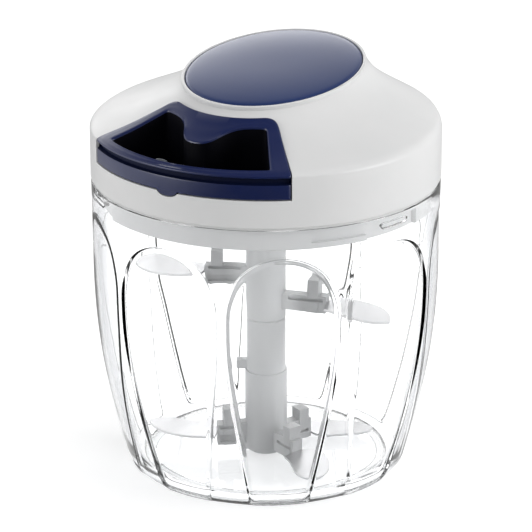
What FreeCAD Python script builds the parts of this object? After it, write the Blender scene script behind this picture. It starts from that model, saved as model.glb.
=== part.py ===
import FreeCAD, Part
import math
import os
import Sketcher

# Pull-string food chopper. Z is up, the pull handle faces -Y, and the origin is the
# centre of the foot on the table. Lengths are in millimetres and angles in degrees.

SIZES = {
    # bowl
    "bowl_rim": 117.5,
    "rim_radius": 67.4,
    "shoulder_radius": 67.2,
    "shoulder_height": 100.0,
    "belly_radius": 64.4,
    "belly_height": 43.0,
    "heel_radius": 56.4,
    "heel_height": 8.5,
    "foot_radius": 50.4,
    "foot_lip": 0.3,
    "bowl_wall": 2.5,
    "floor_under": 0.8,
    "floor_top": 2.6,
    "floor_radius": 46.0,
    "groove_in": 44.2,
    "groove_out": 47.9,
    "groove_top": 1.4,
    "boss_radius": 4.2,
    "boss_top": 10.0,
    "pin_radius": 2.0,
    "pin_bottom": 1.5,
    "pin_top": 24.0,
    "flute_turn": -2.9,
    "lug_turn": -41.5,
    "lug_half_width": 7.9,
    "lug_inner": 63.1,
    "lug_outer": 65.9,
    "lug_bottom": 112.0,
    "lug_height": 2.6,
    "flute_depth": 0.9,
    "flute_half_width": 22.2,
    "flute_shoulder": 87.0,
    "flute_top": 107.0,
    "flute_foot": 10.9,
    # lid
    "lid_radius": 67.5,
    "band_bottom": 118.4,
    "crease_height": 138.2,
    "skirt_radius": 64.4,
    "skirt_inner": 61.0,
    "skirt_bottom": 109.3,
    "lid_wall": 2.6,
    "cap_length": 36.8,
    "cap_width": 33.1,
    "cap_back": 5.7,
    "cap_height": 159.1,
    "cap_tilt": 8.1,
    "cap_depth": 2.4,
    "bead": 1.5,
    "slot_depth_radius": 62.7,
    "slot_top": 115.2,
    "slot_sill": 111.5,
    "lock_angle": 20.0,
    "way_angle": 24.0,
    "post_radius": 4.0,
    "screw_radius": 1.5,
    "screw_head": 2.9,
    # handle and well
    "handle_angle": 79.2,
    "handle_back": 34.2,
    "handle_bottom": 129.4,
    "handle_rise": 0.5,
    "opening_front": 64.0,
    "corner_x": 34.9,
    "corner_y": 53.7,
    "back_x": 21.8,
    "back_y": 34.0,
    "tongue_tip": 50.6,
    "well_angle": 80.4,
    "liner_angle": 82.4,
    "recess_angle": 82.8,
    "liner_back": 31.8,
    "well_back": 33.4,
    "liner_bottom": 118.4,
    "liner_flange": 0.6,
    "handle_gap": 0.2,
    "knot_wall": 37.6,
    "eyelet_lip": 0.7,
    "eyelet_gap": 0.25,
    "well_floor": 120.4,
    "cup_back": 40.5,
    "cup_front": 62.0,
    "cup_angle": 73.0,
    "neck_joint": 148.4,
    "cord_height": 134.0,
    "cord_radius": 1.0,
    # drive
    "spindle_radius": 2.5,
    "spindle_bottom": 111.9,
    "spindle_top": 151.5,
    "running_fit": 0.06,
    "cover_radius": 60.6,
    "cover_bottom": 110.2,
    "cover_thickness": 2.0,
    "boss_circle": 46.0,
    "socket_radius": 10.0,
    "socket_bottom": 96.5,
    "flange_bottom": 113.5,
    "flange_top": 115.7,
    "flange_radius": 17.2,
    "hex_top": 111.5,
    "hex_apothem": 6.15,
    "hex_play": 0.25,
    "drum_core": 15.0,
    "drum_flange": 20.8,
    "drum_bottom": 115.9,
    "drum_top": 146.5,
    "pawl_x": 10.6,
    "pawl_y": 8.9,
    "pawl_pin": 1.5,
    # blades
    "shaft_radius": 7.75,
    "lower_radius": 8.4,
    "hub_bottom": 3.0,
    "collar_bottom": 37.0,
    "collar_top": 58.9,
    "shaft_shoulder": 95.0,
    "shaft_top": 111.0,
    "spigot_radius": 5.5,
    "blade_thickness": 0.9,
    "arm_width": 5.0,
}

# Directions about the upright axis, from -Y toward +X
SCREW_ANGLES = (75, 180, 285)
COLLAR_TAB_ANGLE = -58.3

# Arms of the hubs: blade name, reach, post radius, arm bottom, arm height, post top, blade
# height, tip radius and direction from -Y toward +X
LOWER_ARMS = [
    ("blade_low_left", 20.0, 15.0, 6.5, 8.5, 21.5, 11.5, 47.0, -50.3),
    ("blade_low_front", 20.0, 16.5, 5.0, 8.0, 18.0, 7.5, 46.0, 69.7),
    ("blade_low_back", 20.0, 16.5, 4.2, 8.0, 16.5, 5.2, 44.5, 154.0),
]
UPPER_ARMS = [
    ("blade_top_left", 23.5, 19.0, 73.5, 7.5, 87.5, 78.0, 54.0, -60.3),
    ("blade_top_right", 25.5, 20.0, 64.0, 7.0, 77.5, 67.0, 55.0, 102.0),
]

# Lid top from the crease to the oval: share of the way, and height above the crease on the
# handle side, which is a plain flare, and on the far side, which has a full shoulder
DOME_PROFILE = [
    (0.00, 0.0, 0.0),
    (0.02, 0.25, 2.4),
    (0.06, 0.7, 4.5),
    (0.15, 1.6, 6.2),
    (0.40, 4.1, 9.9),
    (0.65, 7.4, 14.0),
    (0.82, 10.1, 17.6),
    (0.94, 12.4, 21.8),
]

TOWARD_HANDLE = FreeCAD.Rotation(FreeCAD.Vector(1, 0, 0), 90)

doc = FreeCAD.newDocument("food_chopper")
sheet = doc.addObject("Spreadsheet::Sheet", "Sizes")
for row, (word, number) in enumerate(SIZES.items(), start=1):
    sheet.set("A%d" % row, word)
    sheet.set("B%d" % row, str(number))
    sheet.setAlias("B%d" % row, word)
doc.recompute()

pieces = []


def keep(piece, label):
    """Name a finished sub-part, which is then written to a file of that name."""
    piece.Label = label
    pieces.append(piece)
    return piece


# Sums of sheet names and numbers


def amount(words):
    """Number that a sum such as "lid_radius - lid_wall" stands for."""
    total = 0.0
    sign = 1.0
    for word in str(words).split():
        if word in ("+", "-"):
            sign = -1.0 if word == "-" else 1.0
        else:
            total += sign * (SIZES[word] if word in SIZES else float(word))
            sign = 1.0
    return total


def negated(words):
    """The same sum with every sign turned."""
    flip = {"+": "-", "-": "+"}
    turned = " ".join(flip.get(word, word) for word in str(words).split())
    return turned[1:] if turned.startswith("+") else "- " + turned


def formula(words):
    """The same sum as an expression on the sheet."""
    return " ".join("Sizes." + word if word in SIZES else word for word in str(words).split())


def bind(piece, prop, words):
    piece.setExpression(prop, formula(words))


# Sketches


def origin_part(body, role):
    for item in body.Origin.OriginFeatures:
        if item.Role == role:
            return item


def new_body(name):
    return doc.addObject("PartDesign::Body", name)


def new_sketch(body, name, role="XY_Plane", lift=None):
    sketch = body.newObject("Sketcher::SketchObject", name)
    sketch.AttachmentSupport = [(origin_part(body, role), "")]
    sketch.MapMode = "FlatFace"
    if lift is not None:
        bind(sketch, "AttachmentOffset.Base.z", lift)
    return sketch


def add_bound(sketch, kind, place, words):
    """One signed distance from the sketch origin, driven by the sheet."""
    size = amount(words)
    if abs(size) < 1e-9:
        axis = -2 if kind == "DistanceX" else -1
        sketch.addConstraint(Sketcher.Constraint("PointOnObject", place[0], place[1], axis))
        return
    index = sketch.addConstraint(Sketcher.Constraint(kind, -1, 1, place[0], place[1], size))
    sketch.setExpression("Constraints[%d]" % index, formula(words))


def arc_through(start, between, stop):
    """Anticlockwise arc through three points, and whether it runs from stop to start."""
    ring = Part.Circle(start, between, stop)
    upright = Part.Circle(ring.Center, FreeCAD.Vector(0, 0, 1), ring.Radius)
    turned = (between - start).cross(stop - between).z < 0
    first, last = (stop, start) if turned else (start, stop)
    a = math.atan2(first.y - ring.Center.y, first.x - ring.Center.x)
    b = math.atan2(last.y - ring.Center.y, last.x - ring.Center.x)
    return Part.ArcOfCircle(upright, a, b), turned


def outline(sketch, corners, curves=None):
    """Closed outline through corners, each a pair of sums. curves maps a corner number to the
    points between it and the next corner: one point makes an arc, more make a spline."""
    curves = curves or {}
    points = [FreeCAD.Vector(amount(a), amount(b), 0) for a, b in corners]
    count = len(points)
    ends = []
    fixed = set()
    for index in range(count):
        start = points[index]
        stop = points[(index + 1) % count]
        between = [FreeCAD.Vector(amount(a), amount(b), 0) for a, b in curves.get(index, [])]
        if not between:
            number = sketch.addGeometry(Part.LineSegment(start, stop))
            ends.append(((number, 1), (number, 2)))
        elif len(between) == 1:
            arc, turned = arc_through(start, between[0], stop)
            number = sketch.addGeometry(arc)
            ends.append(((number, 2), (number, 1)) if turned else ((number, 1), (number, 2)))
            sketch.addConstraint(Sketcher.Constraint("Radius", number, arc.Radius))
        else:
            spline = Part.BSplineCurve()
            spline.interpolate([start] + between + [stop])
            number = sketch.addGeometry(spline)
            sketch.addConstraint(Sketcher.Constraint("Block", number))
            ends.append(((number, 1), (number, 2)))
            fixed.update((index, (index + 1) % count))
    for index in range(count):
        last = ends[index][1]
        first = ends[(index + 1) % count][0]
        sketch.addConstraint(Sketcher.Constraint("Coincident", last[0], last[1], first[0], first[1]))
    for index, (a, b) in enumerate(corners):
        if index not in fixed:
            add_bound(sketch, "DistanceX", ends[index][0], a)
            add_bound(sketch, "DistanceY", ends[index][0], b)
    return sketch


def circle(sketch, radius, x="0", y="0"):
    centre = FreeCAD.Vector(amount(x), amount(y), 0)
    number = sketch.addGeometry(Part.Circle(centre, FreeCAD.Vector(0, 0, 1), amount(radius)))
    index = sketch.addConstraint(Sketcher.Constraint("Radius", number, amount(radius)))
    sketch.setExpression("Constraints[%d]" % index, formula(radius))
    add_bound(sketch, "DistanceX", (number, 3), x)
    add_bound(sketch, "DistanceY", (number, 3), y)
    return sketch


# Features


def turn(body, name, corners, curves=None, angle=None, cut=False):
    """Revolve an outline of radius and height about the upright axis. With an angle the outline
    lies on the -Y side and the sweep is centred on it."""
    part_turn = angle is not None
    sketch = new_sketch(body, name + "_outline", "YZ_Plane" if part_turn else "XZ_Plane")
    if part_turn:
        corners = [(negated(a), b) for a, b in corners]
    outline(sketch, corners, curves)
    kind = "PartDesign::Groove" if cut else "PartDesign::Revolution"
    feature = body.newObject(kind, name)
    feature.Profile = sketch
    feature.ReferenceAxis = (sketch, ["V_Axis"])
    if part_turn:
        feature.Midplane = True
        bind(feature, "Angle", angle)
    else:
        feature.Angle = 360
    sketch.Visibility = False
    return feature


def block(body, name, inner, outer, bottom, top, angle, cut=False):
    """A ring sector on the -Y side, added to the body or cut from it."""
    corners = [(outer, bottom), (inner, bottom), (inner, top), (outer, top)]
    return turn(body, name, corners, angle=angle, cut=cut)


def pad(body, sketch, name, length):
    feature = body.newObject("PartDesign::Pad", name)
    feature.Profile = sketch
    bind(feature, "Length", length)
    return feature


def pocket(body, sketch, name, upward=False, length=None):
    feature = body.newObject("PartDesign::Pocket", name)
    feature.Profile = sketch
    feature.Reversed = upward
    if length is None:
        feature.Type = "ThroughAll"
    else:
        bind(feature, "Length", length)
    return feature


def around(body, name, feature, count):
    """Repeat a feature evenly about the upright axis."""
    pattern = body.newObject("PartDesign::PolarPattern", name)
    pattern.Originals = [feature]
    pattern.Axis = (origin_part(body, "Z_Axis"), [""])
    pattern.Angle = 360
    pattern.Occurrences = count
    body.Tip = pattern
    return pattern


def cylinder(name, radius, bottom, height, x="0", y="0"):
    piece = doc.addObject("Part::Cylinder", name)
    bind(piece, "Radius", radius)
    bind(piece, "Height", height)
    bind(piece, "Placement.Base.x", x)
    bind(piece, "Placement.Base.y", y)
    bind(piece, "Placement.Base.z", bottom)
    return piece


def cut(name, base, tool):
    piece = doc.addObject("Part::Cut", name)
    piece.Base = base
    piece.Tool = tool
    return piece


def common(name, base, tool):
    piece = doc.addObject("Part::Common", name)
    piece.Base = base
    piece.Tool = tool
    return piece


def fuse(name, shapes):
    piece = doc.addObject("Part::MultiFuse", name)
    piece.Shapes = shapes
    return piece


def compound(name, solids):
    """Group of separate solids, for alike fasteners."""
    piece = doc.addObject("Part::Compound", name)
    piece.Links = solids
    return piece


def about_z(degrees, x=0.0, y=0.0, z=0.0):
    turned = FreeCAD.Rotation(FreeCAD.Vector(0, 0, 1), degrees)
    return FreeCAD.Placement(FreeCAD.Vector(x, y, z), turned)


def spot(radius, degrees):
    """Place at a radius in a direction from -Y toward +X."""
    angle = math.radians(degrees)
    return radius * math.sin(angle), -radius * math.cos(angle)


# Bowl


def belly(inset, steps=4, down=False):
    """Corners between the heel and the shoulder of the bowl wall, on one arc through the belly."""
    heel = FreeCAD.Vector(SIZES["heel_radius"] - inset, SIZES["heel_height"], 0)
    middle = FreeCAD.Vector(SIZES["belly_radius"] - inset, SIZES["belly_height"], 0)
    top = FreeCAD.Vector(SIZES["shoulder_radius"] - inset, SIZES["shoulder_height"], 0)
    arc = Part.Arc(heel, middle, top).toShape()
    corners = [(str(point.x), str(point.y)) for point in arc.discretize(steps + 1)[1:-1]]
    return corners[::-1] if down else corners


def make_bowl():
    """Clear bowl: turned wall and floor, three bayonet lugs inside the rim, nine arched flutes."""
    blank = new_body("bowl_blank")
    turn(
        blank,
        "bowl_wall_and_floor",
        [
            ("0", "floor_under"),
            ("groove_in", "floor_under"),
            ("groove_in", "groove_top"),
            ("groove_out", "groove_top"),
            ("groove_out", "foot_lip"),
            ("foot_radius", "foot_lip"),
            ("heel_radius", "heel_height"),
        ]
        + belly(0)
        + [
            ("shoulder_radius", "shoulder_height"),
            ("rim_radius", "bowl_rim - 0.5"),
            ("rim_radius - 0.5", "bowl_rim"),
            ("rim_radius - bowl_wall", "bowl_rim"),
            ("shoulder_radius - bowl_wall", "shoulder_height"),
        ]
        + belly(SIZES["bowl_wall"], down=True)
        + [
            ("heel_radius - bowl_wall", "heel_height"),
            ("heel_radius - bowl_wall - 2.4", "heel_height - 3.6"),
            ("floor_radius", "floor_top"),
            ("boss_radius", "floor_top"),
            ("boss_radius - 0.4", "boss_top"),
            ("pin_radius", "boss_top"),
            ("pin_radius", "pin_bottom"),
            ("0", "pin_bottom"),
        ],
        {5: [("heel_radius - 2.4", "foot_lip + 3")]},
    )
    lug = new_sketch(blank, "lug_outline", "XY_Plane", "lug_bottom")
    outline(
        lug,
        [
            ("- lug_half_width", "- lug_inner"),
            ("- lug_half_width", "- lug_outer"),
            ("lug_half_width", "- lug_outer"),
            ("lug_half_width", "- lug_inner"),
        ],
    )
    first = pad(blank, lug, "lug", "lug_height")
    around(blank, "lugs", first, 3)
    bind(blank, "Placement.Rotation.Angle", "lug_turn")

    # The flutes are the part of a thin turned layer that lies under nine arched outlines
    layer = new_body("flute_layer")
    turn(
        layer,
        "flute_skin",
        [
            ("foot_radius - flute_depth", "foot_lip - 1"),
            ("foot_radius - flute_depth", "foot_lip"),
            ("heel_radius - flute_depth", "heel_height"),
        ]
        + belly(SIZES["flute_depth"])
        + [
            ("shoulder_radius - flute_depth", "shoulder_height"),
            ("shoulder_radius - flute_depth", "bowl_rim - 4"),
            ("shoulder_radius + 4", "bowl_rim - 4"),
            ("shoulder_radius + 4", "foot_lip - 1"),
        ],
        {1: [("heel_radius - 2.4 - flute_depth", "foot_lip + 3")]},
    )
    arches = new_body("flute_arches")
    arch = new_sketch(arches, "flute_outline", "XZ_Plane")
    outline(
        arch,
        [
            ("- flute_half_width", "flute_shoulder"),
            ("flute_half_width", "flute_shoulder"),
            ("flute_foot", "1"),
            ("- flute_foot", "1"),
        ],
        {
            0: [("0", "flute_top")],
            1: [
                ("flute_half_width - 0.9", "60"),
                ("flute_half_width - 4.8", "36"),
                ("flute_foot + 2.2", "11"),
            ],
            3: [
                ("- flute_foot - 2.2", "11"),
                ("- flute_half_width + 4.8", "36"),
                ("- flute_half_width + 0.9", "60"),
            ],
        },
    )
    around(arches, "flute_ring", pad(arches, arch, "flute", "lid_radius + 8"), 9)
    bind(arches, "Placement.Rotation.Angle", "flute_turn")
    keep(cut("fluted_bowl", blank, common("flutes", layer, arches)), "bowl")

    pin = new_body("pivot_pin_body")
    turn(
        pin,
        "pin_turned",
        [
            ("0", "pin_bottom"),
            ("pin_radius", "pin_bottom"),
            ("pin_radius", "pin_top - 1"),
            ("pin_radius - 1.2", "pin_top"),
            ("0", "pin_top"),
        ],
    )
    keep(pin, "pivot_pin")

    ring = new_body("foot_ring_body")
    turn(
        ring,
        "foot_ring_turned",
        [
            ("groove_in", "0"),
            ("groove_out", "0"),
            ("groove_out", "groove_top"),
            ("groove_in", "groove_top"),
        ],
    )
    keep(ring, "foot_ring")

    seal = new_body("lid_seal_body")
    turn(
        seal,
        "lid_seal_turned",
        [
            ("skirt_radius + 0.1", "bowl_rim"),
            ("rim_radius - 0.6", "bowl_rim"),
            ("rim_radius - 0.6", "band_bottom"),
            ("skirt_radius + 0.1", "band_bottom"),
        ],
    )
    keep(seal, "lid_seal")


# Lid

def tilted_ellipse(name, length, width, y, z, tilt):
    """Ellipse with its long axis along -Y, tipped down toward the handle."""
    ring = doc.addObject("Part::Ellipse", name)
    ring.MajorRadius = max(length, width + 1e-4)
    ring.MinorRadius = width
    facing = FreeCAD.Rotation(FreeCAD.Vector(0, 0, 1), -90)
    tip = FreeCAD.Rotation(FreeCAD.Vector(1, 0, 0), tilt)
    ring.Placement = FreeCAD.Placement(FreeCAD.Vector(0, y, z), tip.multiply(facing))
    return ring


def loft(name, rings, ruled=False):
    piece = doc.addObject("Part::Loft", name)
    piece.Sections = rings
    piece.Solid = True
    piece.Ruled = ruled
    return piece


def oval_rings(name, steps):
    """Rings parallel to the oval cap: each step is a height off its plane and a growth."""
    tilt = math.radians(SIZES["cap_tilt"])
    rings = []
    for index, (rise, growth) in enumerate(steps):
        rings.append(
            tilted_ellipse(
                "%s_ring_%d" % (name, index),
                SIZES["cap_length"] + growth,
                SIZES["cap_width"] + growth,
                SIZES["cap_back"] - rise * math.sin(tilt),
                SIZES["cap_height"] + rise * math.cos(tilt),
                SIZES["cap_tilt"],
            )
        )
    return rings


def make_dome(name, inset, rise, skip=1):
    """Lid top from the round crease to the tilted oval, shrunk by inset and moved by rise."""
    bead = SIZES["bead"]
    tilt = math.radians(SIZES["cap_tilt"])
    radius = SIZES["lid_radius"] - inset
    length = SIZES["cap_length"] + bead - inset
    width = SIZES["cap_width"] + bead - inset
    rings = []
    for index, (share, near, far) in enumerate(DOME_PROFILE[::skip]):
        half = radius * (1 - share) + length * math.cos(tilt) * share
        drop = math.atan2((far - near) / 2, half)
        rings.append(
            tilted_ellipse(
                "%s_ring_%d" % (name, index),
                half / math.cos(drop),
                radius * (1 - share) + width * share,
                SIZES["cap_back"] * share,
                SIZES["crease_height"] + (near + far) / 2 + rise,
                math.degrees(drop),
            )
        )
    rings += oval_rings(name + "_neck", [(rise - bead, bead - inset)])
    return loft(name, rings, True)


def make_lid_outer(name, inset=0.0, rise=0.0, bottom="band_bottom"):
    """Solid block of the lid's outside: band, dome and the bead around the cap."""
    dome = make_dome(name + "_dome", inset, rise)
    height = "crease_height + %s %s" % (rise, negated(bottom))
    band = cylinder(name + "_band", "lid_radius", bottom, height)
    steps = [(-SIZES["bead"], SIZES["bead"]), (-0.5, SIZES["bead"]), (0.0, SIZES["bead"] - 0.5)]
    bead = loft(name + "_bead", oval_rings(name + "_bead", steps), True)
    return fuse(name, [band, dome, bead])


def lid_room():
    """Room inside the lid, with a plate left under the cap."""
    skirt = cylinder("skirt_bore", "skirt_inner", "skirt_bottom - 1", "band_bottom - skirt_bottom + 14")
    height = "crease_height - band_bottom - 4.5"
    band = cylinder("band_room", "lid_radius - lid_wall", "band_bottom + 3", height)
    dome = make_dome("dome_room", SIZES["lid_wall"], -1.6, 2)
    plate = loft("cap_plate", oval_rings("cap_plate", [(-1.0, 6.0), (-5.0, 6.0)]), True)
    return cut("lid_room", fuse("lid_room_all", [skirt, band, dome]), plate)


def handle_recess():
    """Recess for the handle and its liner, open toward -Y and upward."""
    recess = new_body("handle_recess")
    rest = "handle_bottom - handle_gap - liner_flange"
    block(recess, "recess_low", "liner_back - 0.2", "lid_radius - lid_wall + 0.2", "liner_bottom - 0.3",
          "crease_height", "recess_angle")
    block(recess, "recess_high", "liner_back - 0.2", "lid_radius + 6", rest, "neck_joint", "recess_angle")
    block(recess, "recess_top", "handle_back - 0.5", "lid_radius + 6", "neck_joint - 2",
          "neck_joint + 14", "recess_angle")
    tab = new_sketch(recess, "tab_recess_outline", "XY_Plane", "handle_bottom - 2.6")
    outline(tab, [("- 5.2", "- 62.8"), ("- 5.2", "- 70"), ("5.2", "- 70"), ("5.2", "- 62.8")])
    pad(recess, tab, "tab_recess", "4")
    return recess


def bayonet_ways():
    """Three ways in the skirt: each runs straight up, then sideways over the bowl's lug."""
    entries = new_body("way_entries")
    entry = block(entries, "way_entry", "slot_depth_radius", "skirt_radius + 1", "skirt_bottom - 1",
                  "slot_top", "way_angle")
    around(entries, "way_entry_ring", entry, 3)
    bind(entries, "Placement.Rotation.Angle", "lug_turn")
    runs = new_body("way_runs")
    run = block(runs, "way_run", "slot_depth_radius", "skirt_radius + 1", "slot_sill", "slot_top",
                "way_angle + lock_angle")
    around(runs, "way_run_ring", run, 3)
    bind(runs, "Placement.Rotation.Angle", "lug_turn - lock_angle / 2")
    return [entries, runs]


def make_lid():
    """White lid: thin shell with skirt, bayonet ways, screw posts, cap seat and handle recess."""
    outer = make_lid_outer("lid_outer")
    skirt = cylinder("skirt_outer", "skirt_radius", "skirt_bottom", "band_bottom - skirt_bottom")
    shell = cut("lid_shell_plain", fuse("lid_solid", [outer, skirt]), lid_room())

    posts = [cylinder("spindle_seat", "6", "148.6", "8")]
    bores = [cylinder("spindle_bore", "spindle_radius", "140", "spindle_top - 140")]
    for index, degrees in enumerate(SCREW_ANGLES):
        x, y = spot(SIZES["boss_circle"], degrees)
        foot = "cover_bottom + cover_thickness + 2"
        posts.append(cylinder("post_%d" % index, "post_radius", foot, "40", x, y))
        bores.append(cylinder("post_bore_%d" % index, "screw_radius", "cover_bottom", "14", x, y))
    inside = common("posts_inside", fuse("posts", posts), outer)
    shell = fuse("lid_shell_posts", [shell, inside])

    seat = loft("cap_seat", oval_rings("cap_seat", [(3.0, 0.15), (-SIZES["cap_depth"], 0.15)]), True)
    tools = fuse("lid_cuts", [handle_recess(), seat] + bayonet_ways() + bores)
    keep(cut("lid_shell_cut", shell, tools), "lid_shell")
    return outer


# Handle and well


def make_handle():
    """Blue grip frame: a ring sector under the dome surface with a finger opening and a tongue."""
    frame = new_body("handle_frame")
    block(frame, "frame_sector", "handle_back", "lid_radius", "handle_bottom", "cap_height", "handle_angle")
    lip = [
        ("lid_radius + 2", "handle_bottom - 1"),
        ("lid_radius - 0.3", "handle_bottom - 1"),
        ("lid_radius - 0.3", "crease_height - 3"),
        ("lid_radius - 1", "crease_height - 2.7"),
        ("lid_radius - 1", "crease_height - 0.6"),
        ("lid_radius", "crease_height - 0.3"),
        ("lid_radius + 2", "crease_height - 0.3"),
    ]
    turn(frame, "lip_groove", lip, angle="handle_angle + 4", cut=True)
    grip = new_sketch(frame, "opening_outline")
    outline(
        grip,
        [
            ("- corner_x", "- corner_y"),
            ("corner_x", "- corner_y"),
            ("back_x", "- back_y"),
            ("- back_x", "- back_y"),
        ],
        {
            0: [("0", "- opening_front")],
            2: [
                ("back_x - 6", "- back_y - 2.6"),
                ("9.6", "- back_y - 6.2"),
                ("6.2", "- back_y - 12.2"),
                ("0", "- tongue_tip"),
                ("- 6.2", "- back_y - 12.2"),
                ("- 9.6", "- back_y - 6.2"),
                ("- back_x + 6", "- back_y - 2.6"),
            ],
        },
    )
    pocket(frame, grip, "finger_opening", True)
    tab = new_sketch(frame, "tab_outline", "XY_Plane", "handle_bottom - 2")
    outline(tab, [("- 4.5", "- 63.4"), ("- 3.4", "- 66.9"), ("3.4", "- 66.9"), ("4.5", "- 63.4")])
    pad(frame, tab, "tab", "2.4")
    chamber = new_sketch(frame, "knot_chamber_outline", "XY_Plane", "handle_bottom - 1")
    outline(chamber, [("- 3", "- knot_wall"), ("- 3", "- 43.4"), ("3", "- 43.4"), ("3", "- knot_wall")])
    pocket(frame, chamber, "knot_chamber", True, "cord_height - handle_bottom + 4.2")
    lead = new_sketch(frame, "cord_way_outline", "XZ_Plane")
    circle(lead, "cord_radius + 0.3", "0", "cord_height")
    pocket(frame, lead, "cord_way", True, "knot_wall + 2")
    envelope = make_lid_outer("handle_envelope", 0.0, SIZES["handle_rise"], "handle_bottom - 3")
    keep(common("handle_trimmed", frame, envelope), "pull_handle")


def make_well(outer):
    """Dark liner of the recess: its flange hangs on the lid's band, the finger well is sunk in."""
    liner = new_body("well_liner")
    rest = "handle_bottom - handle_gap - liner_flange"
    floor = "handle_bottom - handle_gap"
    block(liner, "liner_block", "liner_back", "lid_radius - lid_wall", "liner_bottom", floor, "liner_angle")
    block(liner, "liner_walls", "liner_back", "lid_radius", rest, "cap_height", "liner_angle")
    block(liner, "handle_room", "well_back", "lid_radius + 1", floor, "cap_height + 1", "well_angle", True)
    block(liner, "finger_well", "cup_back", "cup_front", "well_floor", "handle_bottom", "cup_angle", True)
    block(liner, "neck_room", "liner_back - 1", "well_back + 1", "neck_joint", "cap_height + 1",
          "liner_angle + 1", True)
    hole = new_sketch(liner, "eyelet_hole_outline", "XZ_Plane")
    circle(hole, "cord_radius + 1.6", "0", "cord_height")
    pocket(liner, hole, "eyelet_hole", True, "45")
    notch = new_sketch(liner, "tab_notch_outline", "XY_Plane", "handle_bottom - 2.6")
    outline(notch, [("- 5.2", "- 62.8"), ("- 5.2", "- 68"), ("5.2", "- 68"), ("5.2", "- 62.8")])
    pocket(liner, notch, "tab_notch", True, "3")
    keep(common("well_trimmed", liner, outer), "handle_well")


def make_eyelet():
    """Metal eyelet in the back wall of the liner, for the cord."""
    eyelet = new_body("cord_eyelet_body")
    length = "well_back - liner_back + eyelet_gap + eyelet_lip"
    turn(
        eyelet,
        "eyelet_turned",
        [
            ("cord_radius + 0.2", "0"),
            ("cord_radius + 2.6", "0"),
            ("cord_radius + 2.6", "eyelet_lip"),
            ("cord_radius + 1.6", "eyelet_lip"),
            ("cord_radius + 1.6", length),
            ("cord_radius + 0.2", length),
        ],
    )
    reach = SIZES["liner_back"] - SIZES["eyelet_gap"] - SIZES["eyelet_lip"]
    start = FreeCAD.Vector(0, -reach, SIZES["cord_height"])
    eyelet.Placement = FreeCAD.Placement(start, TOWARD_HANDLE)
    keep(eyelet, "cord_eyelet")


def make_cap():
    """Dark oval cap set in the top of the lid."""
    steps = [(-SIZES["cap_depth"], 0.0), (0.1, 0.0), (0.6, -0.7), (1.0, -3.0)]
    keep(loft("cap_loft", oval_rings("cap", steps), True), "top_cap")


# Cover and screws


def make_cover():
    """Inner cover: a disc with three sunk screw seats and a round opening for the bush."""
    cover = new_body("inner_cover_body")
    turn(
        cover,
        "cover_disc",
        [
            ("socket_radius + 2", "cover_bottom"),
            ("cover_radius - 2", "cover_bottom"),
            ("cover_radius", "cover_bottom + 0.6"),
            ("cover_radius", "cover_bottom + cover_thickness"),
            ("socket_radius + 2", "cover_bottom + cover_thickness"),
        ],
    )
    for index, degrees in enumerate(SCREW_ANGLES):
        x, y = spot(SIZES["boss_circle"], degrees)
        low = "cover_bottom + cover_thickness - 0.5"
        seat = new_sketch(cover, "seat_%d_outline" % index, "XY_Plane", low)
        circle(seat, "post_radius + 1", x, y)
        pad(cover, seat, "seat_%d" % index, "2.5")
        head = new_sketch(cover, "head_room_%d_outline" % index, "XY_Plane", "cover_bottom - 0.5")
        circle(head, "screw_head + 0.2", x, y)
        pocket(cover, head, "head_room_%d" % index, True, "2.4")
        bore = new_sketch(cover, "screw_bore_%d_outline" % index, "XY_Plane", "cover_bottom - 0.5")
        circle(bore, "screw_radius + 0.1", x, y)
        pocket(cover, bore, "screw_bore_%d" % index, True)
    keep(cover, "inner_cover")


def make_screws():
    """Three alike screws from below, through the cover into the posts of the lid."""
    screws = []
    for index, degrees in enumerate(SCREW_ANGLES):
        x, y = spot(SIZES["boss_circle"], degrees)
        head = cylinder("screw_head_%d" % index, "screw_head", "cover_bottom + 0.2", "1.7", x, y)
        shank = cylinder("screw_shank_%d" % index, "screw_radius", "cover_bottom + 1.8", "11.8", x, y)
        screws.append(fuse("screw_%d" % index, [head, shank]))
    keep(compound("screw_group", screws), "cover_screws")


def make_bush():
    """Flanged bush in the cover, in which the drive socket turns, and the steel spindle."""
    bush = new_body("socket_bush_body")
    turn(
        bush,
        "bush_turned",
        [
            ("socket_radius + running_fit", "cover_bottom - 0.4"),
            ("socket_radius + 2", "cover_bottom - 0.4"),
            ("socket_radius + 2", "cover_bottom + cover_thickness"),
            ("socket_radius + 4", "cover_bottom + cover_thickness"),
            ("socket_radius + 4", "flange_bottom - 0.1"),
            ("socket_radius + running_fit", "flange_bottom - 0.1"),
        ],
    )
    keep(bush, "socket_bush")
    keep(
        cylinder("spindle_rod", "spindle_radius", "spindle_bottom", "spindle_top - spindle_bottom"),
        "spindle",
    )


# Drive


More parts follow.
